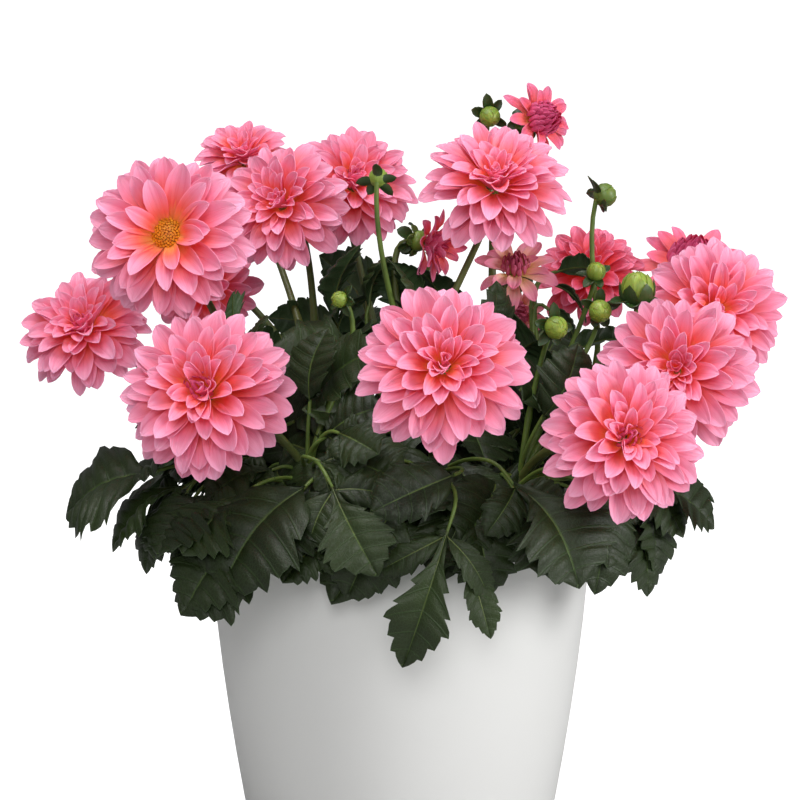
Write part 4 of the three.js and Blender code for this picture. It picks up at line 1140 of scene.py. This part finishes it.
# %% [markdown]
# ## The leafy stems
#
# A stalk rises from its foot in the potting mix and leans over to its fork. A flower stem leaves it
# there, climbs, and comes into its head from behind, so it ends square to the way that the head faces.
# Where a bud nods, only the last bit of its stem bends over.

# %% The ways of the stems
FOOT_HEIGHT = 190  # the feet of the stalks stand this high above the pot's underside, in millimetres


def stalk_path(foot, fork):
    start = np.array([*foot, FOOT_HEIGHT]) * MM
    end = np.array(fork) * MM
    climb = np.array([0, 0, end[2] - start[2]])
    return bezier(start, start + 0.5 * climb, end - 0.3 * climb, end)


def flower_stem_path(start, heart, faces, depth, nod=None, lean=None):
    """The way of a flower stem. Its last bit bends over where a bud nods."""
    faces = np.array(faces) / np.linalg.norm(faces)
    nods = faces if nod is None else np.array(nod) / np.linalg.norm(nod)
    end = np.array(heart) * MM - depth * nods
    way = end - start
    length = np.linalg.norm(way)
    rise = way / length + np.array([0, 0, 1]) if lean is None else np.array(lean, float)
    bend = 0 if nod is None else 2.2 * depth
    return bezier(start, start + 0.42 * length * rise / np.linalg.norm(rise),
                  end - 0.3 * length * faces - bend * nods, end)


print("the front stalk ends at", np.round(stalk_path(*STEMS["stem_front"][:2])(1) / MM), "mm")

# %% [markdown]
# Between the large leaves a dahlia is full of smaller ones, and the shade behind them is what makes the
# heads stand out. They are tried at random round each stalk. One is kept where it hides no head, doesn't
# stick out past the plant, and doesn't hang far below the rim.

# %% Small leaves that fill the shade
SMALL_LEAVES = 13  # on each stem, besides its large leaves
TRIES = 60  # for each of them
OUTLINE_HEIGHTS = (0.21, 0.3, 0.345, 0.39)
OUTLINE_REACHES = (0.185, 0.19, 0.15, 0.1)  # how far from the middle a tip may be at those heights, in metres
LOWEST_TIP = 0.212
HIGHEST_TIP = 0.385
LOWEST_BASE = 0.236


def hides_a_head(place):
    """Whether a place stands before a head, as seen from the front, or inside one."""
    for heart, _, reach, *_ in HEADS.values():
        away = place - np.array(heart) * MM
        if np.hypot(away[0], away[2]) < 1.02 * reach * MM and abs(away[1] + 0.03) < 0.05 + max(0, -away[1]):
            return True
    return False


def small_leaves(stalk, count, chance):
    """More leaves round a stalk, kept where they hide no head and stay within the plant."""
    found = []
    for _ in range(TRIES * count):
        at = chance.uniform(0.45, 1)
        start = stalk(at)
        turn = chance.uniform(0, 2 * math.pi)
        reach = chance.uniform(14, 42) * MM
        way = np.array([math.cos(turn), math.sin(turn), chance.uniform(-0.5, 1.3)])
        base = start + reach * way + np.array([0, 0, 0.3 * reach])
        tip = base + chance.uniform(44, 74) * MM * (way + np.array([0, 0, chance.uniform(-0.9, 0.2)])) / 1.15
        middle = (base + tip) / 2
        within = np.hypot(tip[0], 1.1 * tip[1]) < np.interp(tip[2], OUTLINE_HEIGHTS, OUTLINE_REACHES)
        level = LOWEST_TIP < tip[2] < HIGHEST_TIP and base[2] > LOWEST_BASE
        if within and level and not any(hides_a_head(place) for place in (tip, middle, base)):
            found.append((start, base, tip, chance.uniform(38, 58) * MM, chance.choice((0, 0, 0.45))))
        if len(found) == count:
            break
    return found


print("up to", SMALL_LEAVES * len(STEMS), "small leaves on", len(STEMS), "stems")

# %% [markdown]
# A leafy stem is grown in the order of its table: the stalk, its flower stems with their cups, its bud
# stems with their buds, its large leaves, and the small ones. Three collectors take the tubes, the blades
# and the green cups and buds, because each has a material of its own.

# %% Growing a leafy stem
UNRIPE = 0.3  # how pale the bud on the leaning stem is: 1 is the yellow green of a ripe bud


def grow_stem(name, foot, fork, heads, buds, leaf_rows):
    chance = random.Random(name)
    tubes = Bunch("rib", "tint")
    leaves = Bunch("tint", "under")
    greens = Bunch("tint", "young")
    stalk = stalk_path(foot, fork)
    tubes.add(tube, sweep(tube, stalk, 4.3 * MM, 3.6 * MM, joints=(0.55, 0.9)), rib=0.0, tint=0.5)
    for i, head in enumerate(heads):
        heart, faces, reach = HEADS[head][:3]
        path = flower_stem_path(stalk(0.97 - 0.09 * i), heart, faces, 0.12 * reach * MM)
        tubes.add(tube, sweep(tube, path, 2.7 * MM, 2.1 * MM, joints=(0.3,)), rib=0.25, tint=chance.random())
        add_cup(greens, heart, faces, reach, chance)
    for i, bud in enumerate(buds):
        heart, faces, radius = BUDS[bud]
        path = flower_stem_path(stalk(0.92 - 0.09 * i), heart, faces, 0.9 * radius * MM, BUD_NODS.get(bud),
                                BUD_LEANS.get(bud))
        tubes.add(tube, sweep(tube, path, 2.2 * MM, 1.6 * MM, joints=(0.35,)), rib=0.9, tint=chance.random())
        ripe = UNRIPE if bud in BUD_LEANS else 1.0
        add_bud(greens, heart, BUD_NODS.get(bud, faces), radius, chance, ripe)
    for at, base, tip, width, side_share in leaf_rows + RIM_LEAVES.get(name, []):
        ends = np.array([base, tip]) * MM
        add_leaf(leaves, tubes, stalk(at), ends[0], ends[1], width * MM, side_share, chance)
    for leaf in small_leaves(stalk, SMALL_LEAVES, chance):
        add_leaf(leaves, tubes, *leaf, chance)
    return tubes, leaves, greens


GROWN_STEMS = {name: grow_stem(name, *stem) for name, stem in STEMS.items()}
print("points in the stems:", sum(bunch.count for bunches in GROWN_STEMS.values() for bunch in bunches))

# %% [markdown]
# The upper side of a leaf is deep green with a cool sheen, mottled, with a fine net of veins pressed into
# it. The underside is paler. The veins to the teeth sit on the blank's vein rows, so the flat layout says
# where they are.

# %% The leaves' material
def leaf_material():
    """Two greens in patches, then the net, the side veins and the rib, each a little paler and sunk."""
    material, tree, shader = new_material("leaf_green", 0.48, Specular_IOR_Level=0.32)
    flat = wire(tree, "ShaderNodeSeparateXYZ", {0: tree.nodes.new("ShaderNodeTexCoord").outputs["UV"]})
    from_rib = maths(tree, "SUBTRACT", maths(tree, "MULTIPLY", flat.outputs["X"], 2.0), 1.0)
    side = maths(tree, "ABSOLUTE", from_rib)
    rows = maths(tree, "MULTIPLY", flat.outputs["Y"], (len(LEAF_ROWS) - 1) / ROWS_TO_A_TOOTH)
    teeth = maths(tree, "FRACT", maths(tree, "ADD", rows, 0.25))
    off_vein = maths(tree, "ABSOLUTE", maths(tree, "SUBTRACT", teeth, 0.5))
    vein = maths(tree, "SUBTRACT", 1.0, spread(tree, off_vein, 0.0, 0.075))
    rib = maths(tree, "SUBTRACT", 1.0, spread(tree, side, 0.03, 0.16))
    place = tree.nodes.new("ShaderNodeTexCoord").outputs["Object"]
    net = wire(tree, "ShaderNodeTexVoronoi", {"Vector": place, "Scale": 420.0}, feature="DISTANCE_TO_EDGE")
    net_line = maths(tree, "SUBTRACT", 1.0, spread(tree, net.outputs["Distance"], 0.0, 0.14))
    patches = use_group(tree, MOTTLE, Scale=28.0, Contrast=2.2)
    deep = blend(tree, mark_of(tree, "tint"), tone("#131A08"), tone("#1E280E"))
    light = blend(tree, mark_of(tree, "tint"), tone("#243111"), tone("#33431C"))
    colour = blend(tree, maths(tree, "MULTIPLY", patches, 0.7), deep, light)
    colour = blend(tree, maths(tree, "MULTIPLY", net_line, 0.16), colour, tone("#3A5232"))
    colour = blend(tree, maths(tree, "MULTIPLY", vein, 0.28), colour, tone("#40582F"))
    colour = blend(tree, maths(tree, "MULTIPLY", rib, 0.45), colour, tone("#566F36"))
    pale = blend(tree, patches, tone("#354A2E"), tone("#465C38"))
    colour = blend(tree, mark_of(tree, "under"), colour, pale)
    tree.links.new(colour, shader.inputs["Base Color"])
    sunk = maths(tree, "ADD", maths(tree, "MULTIPLY", net_line, 0.35), maths(tree, "ADD", vein, rib))
    height = maths(tree, "SUBTRACT", maths(tree, "MULTIPLY", patches, 0.5), sunk)
    bump = wire(tree, "ShaderNodeBump", {"Height": height, "Strength": 0.45, "Distance": 0.0006})
    tree.links.new(bump.outputs[0], shader.inputs["Normal"])
    return material


LEAF_GREEN = leaf_material()
print("nodes in the leaves' material:", len(LEAF_GREEN.node_tree.nodes))

# %% [markdown]
# The stalks are olive, some of them flushed with russet. The leaf stems, the midribs and the bud stems
# are a fresher green. The number called rib, which each tube brings, says how fresh it is.

# %% The stalks' material
def stem_material():
    material, tree, shader = new_material("stem_green", 0.45, Specular_IOR_Level=0.4, Subsurface_Weight=0.1,
                                          Subsurface_Scale=0.002)
    patches = use_group(tree, MOTTLE, Scale=60.0, Contrast=1.8)
    stalk = blend(tree, patches, tone("#2C381A"), tone("#46532A"))
    russet = blend(tree, maths(tree, "MULTIPLY", mark_of(tree, "tint"), 0.5), stalk, tone("#6A5A34"))
    rib = blend(tree, patches, tone("#4A6028"), tone("#71893C"))
    tree.links.new(blend(tree, mark_of(tree, "rib"), russet, rib), shader.inputs["Base Color"])
    bump = wire(tree, "ShaderNodeBump", {"Height": patches, "Strength": 0.2, "Distance": 0.0004})
    tree.links.new(bump.outputs[0], shader.inputs["Normal"])
    return material


STEM_GREEN = stem_material()
print("nodes in the stalks' material:", len(STEM_GREEN.node_tree.nodes))

# %% [markdown]
# Bracts are leafy and dark. The scales of buds and cups are yellow green, with fine lines that the shared
# fibres give. A little subsurface scattering makes the buds look plump and full of sap.

# %% The buds' material
def bud_material():
    material, tree, shader = new_material("bud_green", 0.4, Specular_IOR_Level=0.45, Subsurface_Weight=0.2,
                                          Subsurface_Scale=0.003)
    tint, youth = mark_of(tree, "tint"), mark_of(tree, "young")
    lines = use_group(tree, FIBRES, Lines=14.0, Stretch=0.8, Offset=tint)
    bract = blend(tree, tint, tone("#263D1A"), tone("#6E8A3C"))
    wrapped = blend(tree, tint, tone("#557026"), tone("#A3B448"))
    colour = blend(tree, youth, bract, wrapped)
    darker = blend(tree, 1.0, colour, (0.72, 0.8, 0.6, 1), "MULTIPLY")
    colour = blend(tree, maths(tree, "MULTIPLY", lines, 0.6), colour, darker)
    tree.links.new(colour, shader.inputs["Base Color"])
    bump = wire(tree, "ShaderNodeBump", {"Height": lines, "Strength": 0.25, "Distance": 0.0004})
    tree.links.new(bump.outputs[0], shader.inputs["Normal"])
    return material


BUD_GREEN = bud_material()
print("nodes in the buds' material:", len(BUD_GREEN.node_tree.nodes))

# %% [markdown]
# Each leafy stem becomes three pieces, which together stand for its solid.

# %% Finishing the leafy stems
for name, (tubes, leaves, greens) in GROWN_STEMS.items():
    settle(tubes.finish(name + "_stalks", STEM_GREEN), "foliage", name)
    settle(leaves.finish(name + "_leaves", LEAF_GREEN), "foliage", name)
    settle(greens.finish(name + "_greens", BUD_GREEN), "foliage", name)
print("pieces of the stems:", 3 * len(GROWN_STEMS))

# %% [markdown]
# ## The pot and its potting mix
#
# The pot is one turned shape in satin white plastic, a little flared at its rim. A spun outline would
# give it too. Here it starts as its underside, and its wall is extruded ring by ring: up the outside,
# over the rounded rim and down the inside to its floor.

# %% The pot
POT_HEIGHT = 240  # these sizes are in millimetres, as in the solid
RIM_RADIUS = 128.4
FOOT_RADIUS = 98
FLARE = 1.6  # 1 would be a straight cone
POT_WALL = 4
POT_FLOOR = 5
POT_SIDES = 128


def pot_radius(height):
    return (RIM_RADIUS - (RIM_RADIUS - FOOT_RADIUS) * ((POT_HEIGHT - height) / POT_HEIGHT) ** FLARE) * MM


def pot_outline():
    """Radius and height of each ring above the underside: the foot's edge, outside, rim, then inside."""
    foot = [(pot_radius(0) - 0.4 * MM, 0.8 * MM)]
    outside = [(pot_radius(height), height * MM)
               for height in (2.5, 12, 40, 70, 100, 130, 160, 190, 215, 237)]
    rim = [(pot_radius(POT_HEIGHT) - inwards * MM, height * MM)
           for inwards, height in ((0.3, 238.8), (1.2, 239.8), (2.8, 239.8), (3.7, 238.8))]
    inside = [(pot_radius(height) - POT_WALL * MM, height * MM)
              for height in (236, 214, 170, 130, 60, POT_FLOOR)]
    return foot + outside + rim + inside


def turn_pot():
    radius = pot_radius(0) - 2 * MM
    height = 0
    bpy.ops.mesh.primitive_circle_add(vertices=POT_SIDES, radius=radius, fill_type="NGON")
    pot = bpy.context.object
    edit(pot)
    bpy.ops.mesh.select_all(action="SELECT")
    for next_radius, next_height in pot_outline():
        bpy.ops.mesh.extrude_region_move(TRANSFORM_OT_translate={"value": (0, 0, next_height - height)})
        share = next_radius / radius
        bpy.ops.transform.resize(value=(share, share, 1), center_override=(0, 0, next_height))
        radius = next_radius
        height = next_height
    bpy.ops.mesh.select_all(action="SELECT")
    bpy.ops.mesh.normals_make_consistent(inside=False)
    bpy.ops.object.mode_set(mode="OBJECT")
    return pot


deselect_all()
pot = turn_pot()
pot.name = "pot_wall"
print("pot, turned:", len(pot.data.polygons), "faces")

# %% [markdown]
# Water has to leave the pot, so four drain holes are cut through its floor. A short cylinder is the
# drill.

# %% The drain holes
DRAINS = 4
DRAIN_RADIUS = 7 * MM
DRAIN_RING = 55 * MM
CREASE = math.radians(35)  # a sharper edge than this stays crisp, where the rest is smooth


def drill_drains(pot):
    for i in range(DRAINS):
        angle = 2 * math.pi * (i + 0.5) / DRAINS
        place = (DRAIN_RING * math.cos(angle), DRAIN_RING * math.sin(angle), 0)
        bpy.ops.mesh.primitive_cylinder_add(vertices=32, radius=DRAIN_RADIUS, depth=30 * MM, location=place)
        drill = bpy.context.object
        deselect_all()
        bpy.context.view_layer.objects.active = pot
        cut = pot.modifiers.new("drain", "BOOLEAN")
        cut.object = drill
        cut.operation = "DIFFERENCE"
        cut.solver = "EXACT"
        bpy.ops.object.modifier_apply(modifier=cut.name)
        bpy.data.objects.remove(drill)


drill_drains(pot)
pot.data.shade_smooth()
pot.data.set_sharp_from_angle(angle=CREASE)
print("pot, with its drain holes:", len(pot.data.polygons), "faces")

# %% [markdown]
# The plastic is nearly plain, but not quite: large faint clouds in its white, and a very fine grain that
# softens its gloss.

# %% The pot's material
def pot_material():
    material, tree, shader = new_material("satin_white", 0.38, Specular_IOR_Level=0.5)
    patches = use_group(tree, MOTTLE, Scale=9.0, Contrast=1.0)
    tree.links.new(blend(tree, patches, tone("#DCDCDA"), tone("#E3E3E1")), shader.inputs["Base Color"])
    place = tree.nodes.new("ShaderNodeTexCoord").outputs["Object"]
    grain = wire(tree, "ShaderNodeTexNoise", {"Vector": place, "Scale": 900.0, "Detail": 2.0}).outputs["Fac"]
    bump = wire(tree, "ShaderNodeBump", {"Height": grain, "Strength": 0.05, "Distance": 0.0003})
    tree.links.new(bump.outputs[0], shader.inputs["Normal"])
    tree.links.new(spread(tree, grain, 0.3, 0.7, 0.34, 0.42), shader.inputs["Roughness"])
    return material


pot.data.materials.append(pot_material())
settle(pot, "pot", "pot")
print("the pot's material:", pot.data.materials[0].name)

# %% [markdown]
# The potting mix is a lumpy bed with loose crumbs, a few of them pale grains that keep the mix airy. The
# bed is a disc, drawn in ring by ring so that it has points to raise into lumps. Its edge is then drawn
# down to the pot's floor. The same lumps carry the crumbs, which are copies of one small ball, each
# squashed its own way.

# %% The potting mix
MIX_LEVEL = 214  # the heights and places here are in millimetres
MIX_GAP = 4.5  # from the outside of the pot's wall to the mix
MIX_SIDES = 72
LUMP_HEIGHT = 2.2
CRUMBS = 620
CRUMB_REACH = 116
PALE_SHARE = 0.04  # how many of the crumbs are pale grains


def lumps(x, y):
    return LUMP_HEIGHT * (np.sin(0.11 * x + 1) * np.cos(0.13 * y) + 0.5 * np.sin(0.31 * x - 0.27 * y))


def make_bed():
    """The top, still flat, and the sides down to the pot's floor."""
    radius = pot_radius(MIX_LEVEL) - MIX_GAP * MM
    top = MIX_LEVEL * MM
    bpy.ops.mesh.primitive_circle_add(vertices=MIX_SIDES, radius=radius, location=(0, 0, top))
    bed = bpy.context.object
    bpy.ops.object.transform_apply()
    edit(bed)
    bpy.ops.mesh.select_all(action="SELECT")
    for share in (0.9, 0.8, 0.7, 0.6, 0.5, 0.4, 0.3, 0.2, 0.1):
        bpy.ops.mesh.extrude_region_move()
        step = share / (share + 0.1)
        bpy.ops.transform.resize(value=(step, step, 1), center_override=(0, 0, top))
    bpy.ops.mesh.merge(type="CENTER")
    pick(bed, lambda vertex: vertex.co.xy.length > radius - 1 * MM)
    level = MIX_LEVEL
    for height in (130, 60, POT_FLOOR + 0.5):
        next_radius = pot_radius(height) - MIX_GAP * MM
        share = next_radius / radius
        bpy.ops.mesh.extrude_region_move(TRANSFORM_OT_translate={"value": (0, 0, (height - level) * MM)})
        bpy.ops.transform.resize(value=(share, share, 1), center_override=(0, 0, height * MM))
        radius = next_radius
        level = height
    bpy.ops.mesh.edge_face_add()
    bpy.ops.mesh.select_all(action="SELECT")
    bpy.ops.mesh.normals_make_consistent(inside=False)
    bpy.ops.object.mode_set(mode="OBJECT")
    return read_blank(bed)


def make_mix():
    """The bed with its lumps, and the crumbs that lie on it."""
    chance = random.Random("mix")
    bpy.ops.mesh.primitive_ico_sphere_add(subdivisions=1, radius=1)
    crumb = read_blank(bpy.context.object)
    bed = make_bed()
    x = bed.points[:, 0] / MM
    y = bed.points[:, 1] / MM
    loose = (bed.points[:, 2] > (MIX_LEVEL - 1) * MM) & (np.hypot(x, y) < CRUMB_REACH + 2)
    bed.points[:, 2] += np.where(loose, lumps(x, y) * MM, 0)
    bunch = Bunch("tint")
    bunch.add(bed, bed.points, tint=0.3)
    for _ in range(CRUMBS):
        out = CRUMB_REACH * math.sqrt(chance.random())
        turn = chance.uniform(0, 2 * math.pi)
        x = out * math.cos(turn)
        y = out * math.sin(turn)
        size = np.array([chance.uniform(1.2, 4.2), chance.uniform(1.2, 3.4), chance.uniform(0.8, 1.8)]) * MM
        shape = crumb.points * size * np.array([[chance.uniform(0.75, 1.2)] for _ in crumb.points])
        points = turned(shape, chance.uniform(0, 6)) + np.array([x, y, MIX_LEVEL + lumps(x, y)]) * MM
        bunch.add(crumb, points, tint=1.0 if chance.random() < PALE_SHARE else chance.uniform(0, 0.6))
    return bunch


deselect_all()
mix = make_mix()
print("crumbs:", CRUMBS, "points in the mix:", mix.count)

# %% [markdown]
# Damp peat is nearly black and quite dull. Its crumbs go from dark to brown, each with darker specks, and
# the pale grains are nearly white.

# %% The mix's material
def peat_material():
    material, tree, shader = new_material("peat", 0.95)
    specks = use_group(tree, MOTTLE, Scale=300.0, Contrast=2.5)
    colour = ramp(tree, mark_of(tree, "tint"), (0.0, "#1E1510"), (1.0, "#CFC8BA"), (0.6, "#4A3524"))
    darker = blend(tree, 1.0, colour, (0.4, 0.36, 0.34, 1), "MULTIPLY")
    tree.links.new(blend(tree, specks, colour, darker), shader.inputs["Base Color"])
    return material


settle(mix.finish("potting_mix", peat_material(), sharp=25), "soil", "soil")

# %% [markdown]
# ## Stage, light and camera
#
# The picture was taken from slightly above, with a long lens. The lens here is worked out from how much
# of the plant the picture shows, so the pot keeps its size in the frame.

# %% Camera
CAMERA_TARGET = Vector((0, 0, 0.307))
CAMERA_DISTANCE = 2.2
CAMERA_HEIGHT_ANGLE = math.radians(8)
HALF_VIEW = 0.2668  # half of the height that the picture shows at the pot's axis
SENSOR = 36.0

lens = bpy.data.cameras.new("camera")
lens.sensor_width = SENSOR
lens.lens = SENSOR / 2 * CAMERA_DISTANCE / HALF_VIEW
camera = bpy.data.objects.new("camera", lens)
bpy.context.scene.collection.objects.link(camera)
away = Vector((0, -math.cos(CAMERA_HEIGHT_ANGLE), math.sin(CAMERA_HEIGHT_ANGLE)))
camera.location = CAMERA_TARGET + CAMERA_DISTANCE * away
camera.rotation_euler = (math.pi / 2 - CAMERA_HEIGHT_ANGLE, 0, 0)
bpy.context.scene.camera = camera
bpy.context.scene.view_settings.view_transform = "Standard"
print("lens:", round(lens.lens), "mm, camera at", [round(part, 2) for part in camera.location])

# %% [markdown]
# The plant stands on plain white that has no horizon. A large pale disc is the floor. It glows only where
# the camera sees it directly, so it looks white but doesn't light the underside of the leaves.

# %% The floor
FLOOR_RADIUS = 60
FLOOR_DROP = 0.001  # just under the pot

bpy.ops.mesh.primitive_circle_add(vertices=96, radius=FLOOR_RADIUS, fill_type="NGON",
                                  location=(0, 0, -FLOOR_DROP))
floor = bpy.context.object
floor.name = "floor"
floor_material, floor_tree, floor_shader = new_material("pale_floor", 0.8)
floor_shader.inputs["Base Color"].default_value = (0.5, 0.5, 0.5, 1)
floor_shader.inputs["Emission Color"].default_value = (1, 1, 1, 1)
seen = floor_tree.nodes.new("ShaderNodeLightPath").outputs["Is Camera Ray"]
floor_tree.links.new(maths(floor_tree, "MULTIPLY", seen, 1.0), floor_shader.inputs["Emission Strength"])
floor.data.materials.append(floor_material)
print("floor:", 2 * FLOOR_RADIUS, "m across")

# %% [markdown]
# A studio lights a plant with large soft boxes, so its shadows are gentle. The key stands at the right
# and low, and models the pot's roundness. One in front fills the heads, one above brightens their upper
# petals, and the white room around gives a little light from everywhere. A box is given by its name,
# place, target, size and watts.

# %% World and lights
ROOM_LIGHT = 0.27
SOFT_BOXES = (
    ("key", (1.9, -0.9, 0.9), (0, 0, 0.25), 0.9, 31),
    ("front", (-0.1, -2.3, 1.35), (0, 0, 0.38), 1.0, 20),
    ("top", (-0.3, -0.3, 2.2), (0, 0, 0.3), 1.0, 27),
)

world = bpy.data.worlds.new("studio")
bpy.context.scene.world = world
world.use_nodes = True
world.node_tree.nodes["Background"].inputs["Color"].default_value = (1, 1, 1, 1)
world.node_tree.nodes["Background"].inputs["Strength"].default_value = ROOM_LIGHT


def soft_box(name, place, target, size, power):
    light = bpy.data.lights.new(name, "AREA")
    light.shape = "SQUARE"
    light.size = size
    light.energy = power
    lamp = bpy.data.objects.new(name, light)
    bpy.context.scene.collection.objects.link(lamp)
    lamp.location = place
    lamp.rotation_euler = (Vector(target) - Vector(place)).to_track_quat("-Z", "Y").to_euler()


for box in SOFT_BOXES:
    soft_box(*box)
print("soft boxes:", [box[0] for box in SOFT_BOXES])
